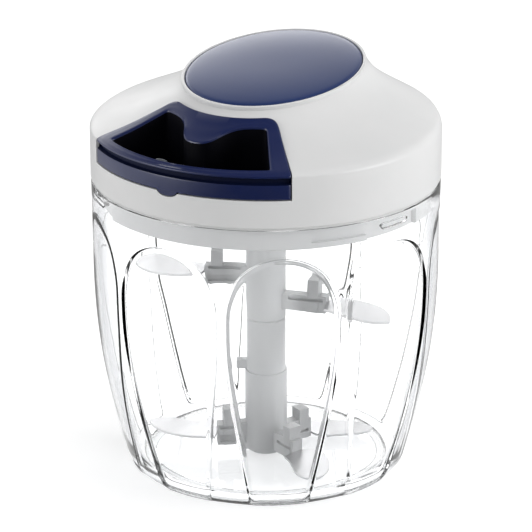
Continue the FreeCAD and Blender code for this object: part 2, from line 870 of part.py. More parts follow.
def make_drum():
    """Cord drum with ratchet teeth inside its lower rim and a cup for the spring above."""
    drum = new_body("cord_drum_body")
    turn(
        drum,
        "drum_turned",
        [
            ("spindle_radius + running_fit", "drum_bottom + 6.5"),
            ("drum_flange - 0.5", "drum_bottom + 6.5"),
            ("drum_flange - 0.5", "drum_bottom"),
            ("drum_flange + 1.2", "drum_bottom"),
            ("drum_flange + 1.2", "drum_bottom + 8"),
            ("drum_flange", "drum_bottom + 9.2"),
            ("drum_flange", "cord_height - 4"),
            ("drum_core", "cord_height - 3.4"),
            ("drum_core", "cord_height + 3.4"),
            ("drum_flange", "cord_height + 4"),
            ("drum_flange", "drum_top"),
            ("drum_flange - 1.4", "drum_top"),
            ("drum_flange - 1.4", "cord_height + 5.6"),
            ("spindle_radius + running_fit", "cord_height + 5.6"),
        ],
    )
    tooth = new_sketch(drum, "ratchet_tooth_outline", "XY_Plane", "drum_bottom + 0.2")
    outline(
        tooth,
        [("0", "- drum_flange + 0.1"), ("- 5", "- drum_flange + 1"), ("0", "- drum_flange + 2.1")],
    )
    around(drum, "ratchet_teeth", pad(drum, tooth, "ratchet_tooth", "5"), 8)
    keep(drum, "cord_drum")

    cover = new_body("spring_cap_body")
    turn(
        cover,
        "spring_cap_turned",
        [
            ("spindle_radius + 1", "drum_top"),
            ("drum_flange", "drum_top"),
            ("drum_flange", "drum_top + 1.2"),
            ("spindle_radius + 1", "drum_top + 1.2"),
        ],
    )
    keep(cover, "spring_cap")


def hexagon(sketch, apothem):
    """Closed six-sided outline with flats left and right."""
    corner = 2 * amount(apothem) / math.sqrt(3)
    points = [spot(corner, 60 * step) for step in range(6)]
    return outline(sketch, points)


def make_socket():
    """Drive socket under the drum: six-sided socket for the blade shaft, flange for the pawls."""
    socket = new_body("drive_socket_body")
    turn(
        socket,
        "socket_turned",
        [
            ("0", "socket_bottom"),
            ("socket_radius - 0.5", "socket_bottom"),
            ("socket_radius", "socket_bottom + 0.5"),
            ("socket_radius", "flange_bottom"),
            ("flange_radius", "flange_bottom"),
            ("flange_radius", "flange_top"),
            ("5", "flange_top"),
            ("5", "drum_bottom + 6.2"),
            ("spindle_radius + running_fit", "drum_bottom + 6.2"),
            ("spindle_radius + running_fit", "hex_top"),
            ("0", "hex_top"),
        ],
    )
    six = new_sketch(socket, "hex_socket_outline", "XY_Plane", "socket_bottom - 1")
    hexagon(six, "hex_apothem + hex_play")
    pocket(socket, six, "hex_socket", True, "hex_top - socket_bottom + 1")
    keep(socket, "drive_socket")


def make_pawls():
    """Two pawls on pins in the socket's flange, half a turn apart."""
    pins = []
    for index, label in enumerate(("pawl_right", "pawl_left")):
        side = 1 - 2 * index
        x = side * SIZES["pawl_x"]
        y = -side * SIZES["pawl_y"]
        pins.append(cylinder("pawl_pin_%d" % index, "pawl_pin", "flange_top", "4.6", x, y))
        pawl = new_body("pawl_%d" % index)
        lever = new_sketch(pawl, "pawl_outline_%d" % index)
        outline(
            lever,
            [
                ("3.1", "0"),
                ("0", "3.1"),
                ("- 7.6", "- 6.4"),
                ("- 8.7", "- 10.8"),
                ("- 6.6", "- 10.6"),
                ("0.4", "- 3.1"),
            ],
            {0: [("2.2", "2.2")], 5: [("2.6", "- 1.6")]},
        )
        pad(pawl, lever, "pawl_lever_%d" % index, "3.4")
        bore = new_sketch(pawl, "pawl_bore_outline_%d" % index)
        circle(bore, "pawl_pin + running_fit")
        pocket(pawl, bore, "pawl_bore_%d" % index, True)
        pawl.Placement = about_z(180 * index, x, y, SIZES["flange_top"] + 0.4)
        keep(pawl, label)
    keep(compound("pawl_pin_group", pins), "pawl_pins")


def make_spring(turns=4, sides=16):
    """Flat spiral return spring in the cup of the drum, with its inner end on the spindle."""
    thickness = 0.4
    height = 5.6
    inner = SIZES["spindle_radius"] + 3.0
    outer = SIZES["drum_flange"] - 2.4
    steps = sides * turns
    outside = []
    inside = []
    for step in range(steps + 1):
        way = FreeCAD.Vector(*spot(1, 360 * step / sides))
        radius = inner + (outer - inner) * step / steps
        outside.append(way * (radius + thickness))
        inside.append(way * radius)
    strip = Part.Face(Part.makePolygon(outside + inside[::-1] + outside[:1]))
    tail = Part.makeBox(thickness, inner - SIZES["spindle_radius"] + 0.2, height)
    tail.translate(FreeCAD.Vector(-thickness / 2, -inner - 0.2, 0))
    spring = doc.addObject("Part::Feature", "recoil_spring_feature")
    spring.Shape = strip.extrude(FreeCAD.Vector(0, 0, height)).fuse(tail).removeSplitter()
    spring.Placement = about_z(0, 0, 0, SIZES["cord_height"] + 5.9)
    keep(spring, "recoil_spring")


# Cord


def make_cord():
    """Cord: three turns on the drum, a straight feed to the eyelet and a lead to the knot."""
    radius = SIZES["cord_radius"]
    height = SIZES["cord_height"]
    wound = SIZES["drum_core"] + radius + 0.05
    reach = SIZES["liner_back"] - SIZES["eyelet_gap"] - SIZES["eyelet_lip"]
    winding = new_body("cord_winding_body")
    ridges = []
    for index in range(3):
        low = "cord_height - %s" % (3.1 - 2.1 * index)
        ridges += [("drum_core + 1.2", low), ("drum_core + 2.05", low + " + 1.05")]
    ridges += [("drum_core + 1.2", "cord_height + 3.2"), ("drum_core", "cord_height + 3.2")]
    turn(winding, "wound_turns", ridges + [("drum_core", "cord_height - 3.1")])
    keep(winding, "cord_winding")

    # The feed leaves the drum on the -X side along the tangent that meets the eyelet
    x, y = spot(wound, -math.degrees(math.acos(wound / reach)))
    run = FreeCAD.Vector(-x, -reach - y, 0)
    rod = doc.addObject("Part::Cylinder", "cord_feed_rod")
    rod.Radius = radius
    rod.Height = run.Length
    along = FreeCAD.Rotation(FreeCAD.Vector(0, 0, 1), run)
    rod.Placement = FreeCAD.Placement(FreeCAD.Vector(x, y, height), along)
    room = cylinder("wound_room", "drum_core + 2.1", "cord_height - 3", "6")
    keep(cut("cord_feed_clear", rod, room), "cord_feed")

    lead = doc.addObject("Part::Cylinder", "cord_lead_rod")
    lead.Radius = radius
    lead.Height = SIZES["knot_wall"] - reach - 0.6
    lead.Placement = FreeCAD.Placement(FreeCAD.Vector(0, -reach - 0.6, height), TOWARD_HANDLE)
    keep(lead, "cord_lead")
    knot = new_body("cord_knot_body")
    turn(
        knot,
        "knot_turned",
        [("0", "0"), ("1.8", "0"), ("2.5", "1.2"), ("2.5", "2.8"), ("1.8", "4"), ("0", "4")],
    )
    knot.Placement = FreeCAD.Placement(FreeCAD.Vector(0, -SIZES["knot_wall"], height), TOWARD_HANDLE)
    keep(knot, "cord_knot")


# Blades


def make_arm(name, reach, post, bottom, height, post_top, direction):
    """Arm of a hub with an upright post, pointing in a direction from -Y toward +X."""
    start = 3.0
    width = SIZES["arm_width"]
    post_width = width + 0.6
    post_length = 4.4
    turned = about_z(direction - 90)
    bar = doc.addObject("Part::Box", name + "_bar")
    bar.Length = reach - start
    bar.Width = width
    bar.Height = height
    bar.Placement = turned.multiply(about_z(0, start, -width / 2, bottom))
    stand = doc.addObject("Part::Box", name + "_post")
    stand.Length = post_length
    stand.Width = post_width
    stand.Height = post_top - bottom
    stand.Placement = turned.multiply(about_z(0, post - post_length / 2, -post_width / 2, bottom))
    return [bar, stand]


def make_blade(name, root, tip, height, direction):
    """Curved blade on a narrow tang that runs through its arm; it trails as the cord is pulled."""
    blade = new_body(name + "_body")
    sketch = new_sketch(blade, name + "_outline")
    outline(
        sketch,
        [
            ("7", "1.6"),
            (root, "1.6"),
            (root + 2, "7.6"),
            (tip - 1, "- 12"),
            (root + 1, "- 7.4"),
            (root, "- 1.6"),
            ("7", "- 1.6"),
        ],
        {
            2: [(0.5 * tip + 6, "6.4"), (tip - 9, "2.2"), (tip - 3.4, "- 4.4")],
            3: [(tip - 5.4, "- 14"), (0.5 * tip + 8, "- 11.2")],
        },
    )
    pad(blade, sketch, name + "_plate", "blade_thickness")
    blade.Placement = about_z(direction - 90, 0, 0, height)
    return keep(blade, name)


def lower_shaft():
    """Lower length of the blade shaft: it stands on the bowl's pin and is stepped at its top."""
    shaft = new_body("lower_hub_shaft")
    turn(
        shaft,
        "lower_hub_turned",
        [
            ("boss_radius + 0.4", "hub_bottom"),
            ("lower_radius - 1.8", "hub_bottom"),
            ("lower_radius - 0.5", "hub_bottom + 0.9"),
            ("lower_radius", "hub_bottom + 2.4"),
            ("lower_radius", "collar_bottom"),
            ("spigot_radius", "collar_bottom"),
            ("spigot_radius", "collar_bottom + 7"),
            ("0", "collar_bottom + 7"),
            ("0", "pin_top + 0.6"),
            ("pin_radius + running_fit", "pin_top"),
            ("pin_radius + running_fit", "boss_top + 0.4"),
            ("boss_radius + 0.4", "boss_top + 0.4"),
        ],
    )
    return shaft


def upper_shaft():
    """Upper length of the blade shaft, six-sided at its top for the drive socket."""
    shaft = new_body("upper_hub_shaft")
    turn(
        shaft,
        "upper_hub_turned",
        [
            ("0", "collar_top - 7"),
            ("spigot_radius", "collar_top - 7"),
            ("spigot_radius", "collar_top"),
            ("shaft_radius - 0.6", "collar_top"),
            ("shaft_radius", "collar_top + 0.5"),
            ("shaft_radius", "shaft_shoulder - 0.6"),
            ("shaft_radius - 0.6", "shaft_shoulder"),
            ("0", "shaft_shoulder"),
        ],
    )
    six = hexagon(new_sketch(shaft, "hex_tang_outline", "XY_Plane", "shaft_shoulder - 1"), "hex_apothem")
    pad(shaft, six, "hex_tang", "shaft_top - shaft_shoulder + 1")
    return shaft


def make_collar():
    """Loose sleeve that joins both lengths of the shaft, with a small release tab."""
    collar = new_body("shaft_collar_body")
    turn(
        collar,
        "collar_turned",
        [
            ("spigot_radius + 0.05", "collar_bottom"),
            ("shaft_radius", "collar_bottom"),
            ("shaft_radius", "collar_top - 0.5"),
            ("shaft_radius - 0.6", "collar_top"),
            ("spigot_radius + 0.05", "collar_top"),
        ],
    )
    tab = new_sketch(collar, "release_tab_outline", "XY_Plane", "collar_bottom + 0.5")
    outline(tab, [("- 1.8", "- 12"), ("1.8", "- 12"), ("1.8", "- 7"), ("- 1.8", "- 7")])
    pad(collar, tab, "release_tab", "3.4")
    collar.Placement = about_z(COLLAR_TAB_ANGLE)
    keep(collar, "shaft_collar")


def make_hub(label, shaft, arms, bores):
    """One length of the shaft with its arms, slotted for the blades that it carries."""
    solids = [shaft]
    slots = list(bores)
    for name, reach, post, bottom, height, post_top, blade_at, tip, direction in arms:
        solids += make_arm(name + "_arm", reach, post, bottom, height, post_top, direction)
        slots.append(make_blade(name, reach, tip, blade_at, direction))
    keep(cut(label + "_cut", fuse(label + "_fused", solids), fuse(label + "_slots", slots)), label)


def make_blades():
    """Blade stack: two hubs with five blades and the sleeve between them."""
    make_collar()
    bores = [
        cylinder("pin_room", "pin_radius + running_fit", "hub_bottom - 1", "pin_top - hub_bottom + 1"),
        cylinder("boss_room", "boss_radius + 0.4", "hub_bottom - 1", "boss_top - hub_bottom + 1.4"),
    ]
    make_hub("lower_hub", lower_shaft(), LOWER_ARMS, bores)
    make_hub("upper_hub", upper_shaft(), UPPER_ARMS, [])


def main():
    make_bowl()
    outer = make_lid()
    make_handle()
    make_well(outer)
    make_eyelet()
    make_cap()
    make_cover()
    make_screws()
    make_bush()
    make_drum()
    make_socket()
    make_pawls()
    make_spring()
    make_cord()
    make_blades()
    doc.recompute()
    for piece in doc.Objects:
        if piece.isDerivedFrom("Part::Feature"):
            if "Invalid" in piece.State or "Error" in piece.State:
                raise RuntimeError("%s did not compute: %s" % (piece.Label, piece.getStatusString()))
    for piece in pieces:
        if piece.Shape.isNull() or not piece.Shape.isValid():
            raise RuntimeError("%s has no valid shape" % piece.Label)
    os.makedirs("parts", exist_ok=True)
    for piece in pieces:
        piece.Shape.exportStep("parts/%s.step" % piece.Label)


main()
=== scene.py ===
import math

import bmesh
import bpy
from mathutils import Matrix, Vector


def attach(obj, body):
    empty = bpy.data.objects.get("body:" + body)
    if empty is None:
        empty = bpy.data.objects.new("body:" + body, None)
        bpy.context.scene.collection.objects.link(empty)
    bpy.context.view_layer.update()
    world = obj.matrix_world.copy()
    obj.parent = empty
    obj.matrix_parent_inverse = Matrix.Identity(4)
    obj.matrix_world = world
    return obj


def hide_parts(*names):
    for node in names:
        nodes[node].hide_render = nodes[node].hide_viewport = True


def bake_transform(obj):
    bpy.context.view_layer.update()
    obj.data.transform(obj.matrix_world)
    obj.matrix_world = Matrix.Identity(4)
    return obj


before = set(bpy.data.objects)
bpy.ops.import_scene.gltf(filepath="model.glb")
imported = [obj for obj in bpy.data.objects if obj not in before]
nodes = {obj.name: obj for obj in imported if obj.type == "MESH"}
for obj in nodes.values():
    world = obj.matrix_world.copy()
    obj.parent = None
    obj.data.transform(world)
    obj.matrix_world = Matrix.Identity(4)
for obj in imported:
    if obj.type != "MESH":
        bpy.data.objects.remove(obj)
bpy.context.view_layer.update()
scene = bpy.context.scene

MM = 0.001

# Camera and studio, in metres and degrees; every direction runs from -Y toward +X
CAMERA_TURN = 31.7
CAMERA_DOWN = 20.12
CAMERA_REACH = 1.1
CAMERA_HEIGHT = 0.48253
CAMERA_LENS, SENSOR = 203.32, 36

# Sizes in millimetres, most of them as in the part's source
CREASE = 138.2
BAND_BOTTOM = 118.4
LID_RADIUS = 67.5
LID_WALL = 2.6
CEILING = 121.4
SKIRT_RADIUS, SKIRT_INNER, SKIRT_BOTTOM = 64.4, 61.0, 109.3
WAY_INNER, WAY_OUTER, WAY_SILL, WAY_TOP = 62.7, 65.4, 111.5, 115.2
WAY_ANGLE, LOCK_ANGLE = 24.0, 20.0
LUG_TURN = -41.5
CAP_LENGTH, CAP_WIDTH, CAP_BACK, CAP_HEIGHT, CAP_TILT = 36.8, 33.1, 5.7, 159.1, 8.1
BEAD = 1.5
HANDLE_BOTTOM = 129.4
HANDLE_BACK = 36.2
HANDLE_HALF = 39.6
HANDLE_GAP = 0.35
CORD_HEIGHT = 134.0

# Lid top: share of the way in, height above the crease on the handle side and on the far side
DOME = [
    (0.00, 0.0, 0.0),
    (0.02, 0.25, 2.4),
    (0.06, 0.7, 4.5),
    (0.15, 1.6, 6.2),
    (0.40, 4.1, 9.9),
    (0.65, 7.4, 14.0),
    (0.82, 10.1, 17.6),
    (0.94, 12.4, 21.8),
    (1.00, 14.0, 24.8),
]


def place_camera():
    """The photograph's eye: low three-quarter view from the front right, with a long lens."""
    camera = bpy.data.objects.new("camera", bpy.data.cameras.new("camera"))
    scene.collection.objects.link(camera)
    turn = math.radians(CAMERA_TURN)
    x, y = CAMERA_REACH * math.sin(turn), -CAMERA_REACH * math.cos(turn)
    camera.location = (x, y, CAMERA_HEIGHT)
    camera.rotation_euler = (math.radians(90 - CAMERA_DOWN), 0, turn)
    camera.data.sensor_width = SENSOR
    camera.data.lens = CAMERA_LENS
    camera.data.clip_start = 0.05
    scene.camera = camera


# Finishes

# Noise scales, in patches per metre
MOTTLING, SWELL, FLOW, POLISH, SKIN = 38, 45, 60, 160, 900

# Painted shade on the shaft's white: where it grows over its arms, from the axis, where it fades up
# from its foot, from the table (m), and its share at the foot
ARM_SHADE_REACH = (0.0095, 0.017)
FOOT_SHADE_RISE = (0.010, 0.034)
FOOT_SHADE_SHARE = 0.75


class Nodes:
    """A node tree, emptied, with short ways to add and join nodes."""

    def __init__(self, tree):
        self.tree = tree
        tree.nodes.clear()

    def add(self, kind, **settings):
        node = self.tree.nodes.new(kind)
        for word, value in settings.items():
            setattr(node, word, value)
        return node

    def join(self, source, target):
        self.tree.links.new(source, target)

    def feed(self, node, **sources):
        """Give inputs a socket or a value; an underscore in a word stands for a space."""
        for word, source in sources.items():
            target = node.inputs[word.replace("_", " ")]
            if isinstance(source, bpy.types.NodeSocket):
                self.join(source, target)
            else:
                target.default_value = source

    def ranged(self, amount, low, high, first, last, kind="SMOOTHSTEP"):
        """Map a number from low to high onto first to last, with eased ends."""
        node = self.add("ShaderNodeMapRange", interpolation_type=kind)
        self.feed(node, Value=amount, From_Min=low, From_Max=high, To_Min=first, To_Max=last)
        return node.outputs["Result"]

    def math(self, operation, first, second):
        node = self.add("ShaderNodeMath", operation=operation)
        for target, source in zip(node.inputs, (first, second)):
            if isinstance(source, bpy.types.NodeSocket):
                self.join(source, target)
            else:
                target.default_value = source
        return node.outputs["Value"]

    def vector(self, operation, place, other=(0, 0, 0)):
        """Vector node that works on a place and, where it takes one, a fixed vector."""
        node = self.add("ShaderNodeVectorMath", operation=operation)
        self.join(place, node.inputs[0])
        node.inputs[1].default_value = other
        return node

    def flat(self, place):
        """A place's part in plan."""
        return self.vector("MULTIPLY", place, (1, 1, 0)).outputs["Vector"]

    def reach(self, place):
        """Distance of a place from the upright axis."""
        return self.vector("LENGTH", self.flat(place)).outputs["Value"]

    def seen(self, path):
        """1 for a ray from the eye, straight or through the clear wall."""
        straight, bent = path.outputs["Is Camera Ray"], path.outputs["Is Transmission Ray"]
        return self.math("MAXIMUM", straight, bent)

    def gloss_only(self, path):
        """1 for a mirrored ray, and 0 for one that a rough clear wall also bent."""
        gloss, bent = path.outputs["Is Glossy Ray"], path.outputs["Is Transmission Ray"]
        only = self.math("SUBTRACT", gloss, bent)
        only.node.use_clamp = True
        return only

    def ramp(self, amount, stops):
        """Grey level by an amount, through stops of place and level."""
        node = self.add("ShaderNodeValToRGB")
        self.join(amount, node.inputs["Fac"])
        elements = node.color_ramp.elements
        for place, level in stops[1:-1]:
            elements.new(place).color = (level, level, level, 1)
        for element, (place, level) in ((elements[0], stops[0]), (elements[-1], stops[-1])):
            element.position = place
            element.color = (level, level, level, 1)
        return node.outputs["Color"]


class Finish(Nodes):
    """A new material and its nodes, in the row frame."""

    def __init__(self, name):
        self.material = bpy.data.materials.new(name)
        self.material.use_nodes = True
        super().__init__(self.material.node_tree)
        self.surface = self.add("ShaderNodeOutputMaterial").inputs["Surface"]
        self.place = self.add("ShaderNodeTexCoord").outputs["Object"]

    def noise(self, scale, detail=3.0, stretch=(1, 1, 1)):
        mapping = self.add("ShaderNodeMapping")
        self.feed(mapping, Vector=self.place, Scale=stretch)
        node = self.add("ShaderNodeTexNoise")
        self.feed(node, Vector=mapping.outputs["Vector"], Scale=scale, Detail=detail)
        return node.outputs["Fac"]

    def between(self, noise, low, high):
        """Spread a noise, which mostly lies from 0.3 to 0.7, over a range."""
        return self.ranged(noise, 0.3, 0.7, low, high, "LINEAR")

    def mixed(self, amount, first, second):
        """Colour between two, each of them a socket or its red, green and blue."""
        node = self.add("ShaderNodeMix", data_type="RGBA")
        first, second = ((*c, 1) if isinstance(c, tuple) else c for c in (first, second))
        self.feed(node, Factor=amount, A=first, B=second)
        return node.outputs["Result"]

    def bump(self, height, distance):
        node = self.add("ShaderNodeBump")
        self.feed(node, Height=height, Distance=distance, Strength=1.0)
        return node.outputs["Normal"]

    def either(self, amount, first, second):
        """One shader or the other, by an amount."""
        node = self.add("ShaderNodeMixShader")
        for target, source in zip(node.inputs, (amount, first, second)):
            self.join(source, target)
        return node.outputs["Shader"]

    def done(self, shader):
        self.join(shader, self.surface)
        return self.material


def moulded(name, first, second, rough, grain=0.000006, uneven=0.035, arms=None, gloss=0.5):
    """Moulded plastic with faint mottling, uneven polish and a fine skin; arms is the colour of
    painted shade laid over the shaft's arms and, in part, at its foot."""
    finish = Finish(name)
    tone = finish.mixed(finish.between(finish.noise(MOTTLING), 0, 1), first, second)
    # Painted shade: the colour darkens to arms out along the shaft's arms and down at its foot
    if arms:
        height = finish.vector("DOT_PRODUCT", finish.place, (0, 0, 1)).outputs["Value"]
        out = finish.ranged(finish.reach(finish.place), *ARM_SHADE_REACH, 0, 1)
        foot_shade = finish.ranged(height, *FOOT_SHADE_RISE, FOOT_SHADE_SHARE, 0)
        tone = finish.mixed(finish.math("MAXIMUM", out, foot_shade), tone, arms)
    shader = finish.add("ShaderNodeBsdfPrincipled")
    finish.feed(
        shader,
        Base_Color=tone,
        Roughness=finish.between(finish.noise(POLISH, 1), rough - uneven, rough + uneven),
        Normal=finish.bump(finish.noise(SKIN, 2), grain),
        Specular_IOR_Level=gloss,
    )
    return finish.done(shader.outputs["BSDF"])


def clear_plastic(name, tint, dark, shade, rough=0.0, turn=(0.35, 0.85)):
    """Clear moulded plastic: it lets lamp light through, and painted shade darkens its colour as it
    turns edge on.
    """
    finish = Finish(name)
    # Painted shade: the colour turns to dark as the surface turns edge on
    edge = finish.add("ShaderNodeLayerWeight")
    edge.inputs["Blend"].default_value = 0.5
    share = finish.ranged(edge.outputs["Facing"], *turn, 0, 1)
    shader = finish.add("ShaderNodeBsdfPrincipled")
    finish.feed(
        shader,
        Base_Color=finish.mixed(share, tint, dark),
        Transmission_Weight=1,
        IOR=1.49,
        Roughness=finish.between(finish.noise(FLOW), rough, rough + 0.02),
        Normal=finish.bump(finish.noise(SWELL, 1), 0.00006),
    )
    open_way = finish.add("ShaderNodeBsdfTransparent")
    finish.feed(open_way, Color=(*shade, 1))
    path = finish.add("ShaderNodeLightPath")
    light = finish.math("MAXIMUM", path.outputs["Is Shadow Ray"], path.outputs["Is Diffuse Ray"])
    return finish.done(finish.either(light, shader.outputs["BSDF"], open_way.outputs["BSDF"]))


def brushed_steel(name, rough, stretch, level=1.0, scratch=0.000015):
    """Steel with fine lines along the direction in which the noise is stretched."""
    finish = Finish(name)
    lines = finish.noise(SKIN, 4, stretch)
    dull = (0.59 * level, 0.59 * level, 0.60 * level)
    bright = (0.66 * level, 0.66 * level, 0.67 * level)
    shader = finish.add("ShaderNodeBsdfPrincipled")
    finish.feed(
        shader,
        Metallic=1,
        Base_Color=finish.mixed(finish.between(lines, 0, 1), dull, bright),
        Roughness=finish.between(lines, rough - 0.06, rough + 0.08),
        Normal=finish.bump(lines, scratch),
    )
    return finish.done(shader.outputs["BSDF"])


# Clear plastics whose colour darkens edge on as painted shade
clear = clear_plastic(
    "clear_plastic_polished",
    (0.985, 0.988, 0.99), (0.56, 0.57, 0.59), (0.94, 0.945, 0.95), turn=(0.5, 0.78),
)
# The flutes' edge steps: clear plastic with darker painted edge shade
clear_edge_shade = clear_plastic(
    "clear_plastic_edge_shade",
    (0.97, 0.975, 0.98), (0.10, 0.105, 0.11), (0.90, 0.905, 0.91), turn=(0.52, 0.88),
)
ring_soft = clear_plastic(
    "ring_soft", (0.90, 0.91, 0.91), (0.60, 0.61, 0.62), (0.80, 0.81, 0.82), 0.22
)
lid_white = moulded("lid_white", (0.80, 0.805, 0.805), (0.83, 0.83, 0.83), 0.36)
# White shaft with painted shade on its arms and foot
shaft_white_painted_shade = moulded(
    "shaft_white_painted_shade", (0.78, 0.785, 0.79), (0.82, 0.825, 0.825), 0.38, arms=(0.52, 0.525, 0.53)
)
inner_white = moulded("inner_white", (0.74, 0.745, 0.75), (0.78, 0.78, 0.78), 0.45)
handle_blue = moulded(
    "handle_blue", (0.004, 0.013, 0.084), (0.006, 0.016, 0.096), 0.32, gloss=1.0
)
# Dark navy painted shade for the groove along the grip's front
groove_painted_shade = moulded(
    "groove_painted_shade", (0.003, 0.007, 0.036), (0.004, 0.009, 0.042), 0.50, gloss=0.2
)
# Blue of the cap: the grip's blue plastic, painted lighter for the light on the cap's top
cap_blue_painted_light = moulded(
    "cap_blue_painted_light", (0.012, 0.034, 0.140), (0.016, 0.040, 0.156), 0.30, 0.000001, 0.006, gloss=1.0
)
# Near-black painted shade for the recess liner and the inner walls of the grip's opening
well_painted_shade = moulded("well_painted_shade", (0.001, 0.001, 0.003), (0.002, 0.002, 0.005), 0.60, gloss=0.1)
drum_grey = moulded("drum_grey", (0.32, 0.33, 0.34), (0.38, 0.39, 0.40), 0.42)
# Pale grey of the bump on the inner edge of the grip's front
nub_grey = moulded("nub_grey", (0.085, 0.095, 0.110), (0.100, 0.110, 0.125), 0.45)
seal_white = moulded("seal_white", (0.66, 0.67, 0.67), (0.72, 0.72, 0.72), 0.62, 0.00002)
cord_thread = moulded("cord_thread", (0.70, 0.70, 0.67), (0.80, 0.80, 0.77), 0.75, 0.00008)
blade_steel = brushed_steel("blade_steel", 0.34, (1, 0.1, 1), 0.86, 0.000003)
pin_steel = brushed_steel("pin_steel", 0.22, (1, 1, 0.05))

# Making pieces


def to_object(bm, name):
    """A new object with the shape, which is used up."""
    mesh = bpy.data.meshes.new(name)
    bm.to_mesh(mesh)
    bm.free()
    made = bpy.data.objects.new(name, mesh)
    scene.collection.objects.link(made)
    return made


def from_object(made):
    """The object's shape with its modifiers, as a new bmesh; the object is removed."""
    bpy.context.view_layer.update()
    mesh = bpy.data.meshes.new_from_object(
        made.evaluated_get(bpy.context.evaluated_depsgraph_get())
    )
    bm = bmesh.new()
    bm.from_mesh(mesh)
    bpy.data.meshes.remove(mesh)
    bpy.data.objects.remove(made)
    return bm


def carved(bm, tools, operation="DIFFERENCE"):
    """A solid with other solids cut away, or only what it shares with them."""
    base = to_object(bm, "base")
    helpers = [to_object(tool, "tool") for tool in tools]
    for helper in helpers:
        change = base.modifiers.new("cut", "BOOLEAN")
        change.operation = operation
        change.solver = "EXACT"
        change.object = helper
    result = from_object(base)
    for helper in helpers:
        bpy.data.objects.remove(helper)
    bmesh.ops.remove_doubles(result, verts=result.verts, dist=0.01)
    return result


def finished(bm, name, body, material, stands_for=(), sharp=38):
    """Turn a shape in millimetres into a piece that rides on a body."""
    bmesh.ops.scale(bm, vec=(MM, MM, MM), verts=bm.verts)
    piece = to_object(bm, name)
    piece.data.shade_smooth()
    piece.data.set_sharp_from_angle(angle=math.radians(sharp))
    piece.data.materials.append(material)
    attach(piece, body)
    if stands_for:
        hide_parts(*stands_for)
    return piece


def from_node(node):
    """A CAD node's shape in millimetres, with its triangles joined."""
    bm = bmesh.new()
    bm.from_mesh(nodes[node].data)
    bmesh.ops.scale(bm, vec=(1 / MM, 1 / MM, 1 / MM), verts=bm.verts)
    bmesh.ops.remove_doubles(bm, verts=bm.verts, dist=0.001)
    return bm


# Arms of the blade shaft: direction, reach, bottom and height of the blade's tang
FOOT_ARMS = [(-50.3, 20.0, 6.5, 11.5), (69.7, 20.0, 5.0, 7.5), (154.0, 20.0, 4.2, 5.2)]
TOP_ARMS = [(-60.3, 23.5, 73.5, 78.0), (102.0, 25.5, 64.0, 67.0)]

# The arms' hollows: distance from the axis, wall at the tip, side planes, width of the tool
HOLLOW_START, HOLLOW_WALL, HOLLOW_SIDE, HOLLOW_WIDTH = 10.0, 1.2, 2.5, 2.6
SHAFT_ROUNDING = 0.3


def arm_hollows(arms):
    """Hollows along both sides of the arms, over and under the blades' tangs."""
    tools = []
    for direction, reach, bottom, tang in arms:
        levels = [(tang + 1.5, tang + 2.9)]
        if tang - bottom > 3.5:
            levels.append((bottom + 1.0, tang - 0.8))
        end = reach - HOLLOW_WALL
        for low, high in levels:
            for side in (-HOLLOW_SIDE, HOLLOW_SIDE):
                place = (
                    Matrix.Rotation(math.radians(direction - 90), 4, "Z")
                    @ Matrix.Translation(((HOLLOW_START + end) / 2, side, (low + high) / 2))
                    @ Matrix.Diagonal((end - HOLLOW_START, HOLLOW_WIDTH, high - low, 1))
                )
                bm = bmesh.new()
                bmesh.ops.create_cube(bm, size=1, matrix=place)
                tools.append(bm)
    return tools


def softened(node, name, tools=()):
    """A length of the blade shaft with its edges rounded, in place of its node."""
    bm = from_node(node)
    bmesh.ops.dissolve_limit(
        bm, angle_limit=math.radians(0.6), verts=bm.verts[:], edges=bm.edges[:]
    )
    if tools:
        bm = carved(bm, tools)
    piece = finished(bm, name, "blades", shaft_white_painted_shade, [node])
    rounding = piece.modifiers.new("rounding", "BEVEL")
    rounding.width = SHAFT_ROUNDING * MM
    rounding.segments = 2
    rounding.limit_method = "ANGLE"
    rounding.angle_limit = math.radians(35)
    rounding.harden_normals = True


OVAL_STEPS = 192


def ring(bm, length, width, y, z, tilt=0.0):
    """Oval loop of edges: half length along Y, half width along X, tipped toward the handle."""
    place = (
        Matrix.Translation((0, y, z))
        @ Matrix.Rotation(math.radians(tilt), 4, "X")
        @ Matrix.Diagonal((width, length, 1, 1))
    )
    made = bmesh.ops.create_circle(bm, segments=OVAL_STEPS, radius=1, matrix=place)
    return list({edge for corner in made["verts"] for edge in corner.link_edges})


def lofted(bm, rings):
    """Join oval rings one after the other."""
    loops = [ring(bm, *sizes) for sizes in rings]
    for low, high in zip(loops, loops[1:]):
        bmesh.ops.bridge_loops(bm, edges=low + high)
    return loops


def closed(bm, loops):
    """Close the two ends of a row of loops, and turn the faces outwards."""
    for loop in (loops[0], loops[-1]):
        bmesh.ops.contextual_create(bm, geom=loop)
    bmesh.ops.recalc_face_normals(bm, faces=bm.faces)


def sector(inner, outer, bottom, top, angle, centre, steps):
    """Solid ring sector centred on a direction from -Y toward +X."""
    bm = bmesh.new()
    corners = [(inner, bottom), (outer, bottom), (outer, top), (inner, top)]
    turn = Matrix.Rotation(math.radians(centre - angle / 2 - 90), 4, "Z")
    section = [bm.verts.new(turn @ Vector((r, 0, z))) for r, z in corners]
    face = bm.faces.new(section)
    bmesh.ops.spin(
        bm, geom=[face] + list(face.edges) + section, cent=(0, 0, 0), axis=(0, 0, 1),
        angle=math.radians(angle), steps=steps,
    )
    bmesh.ops.holes_fill(bm, edges=bm.edges)
    bmesh.ops.recalc_face_normals(bm, faces=bm.faces)
    return bm


# Lid


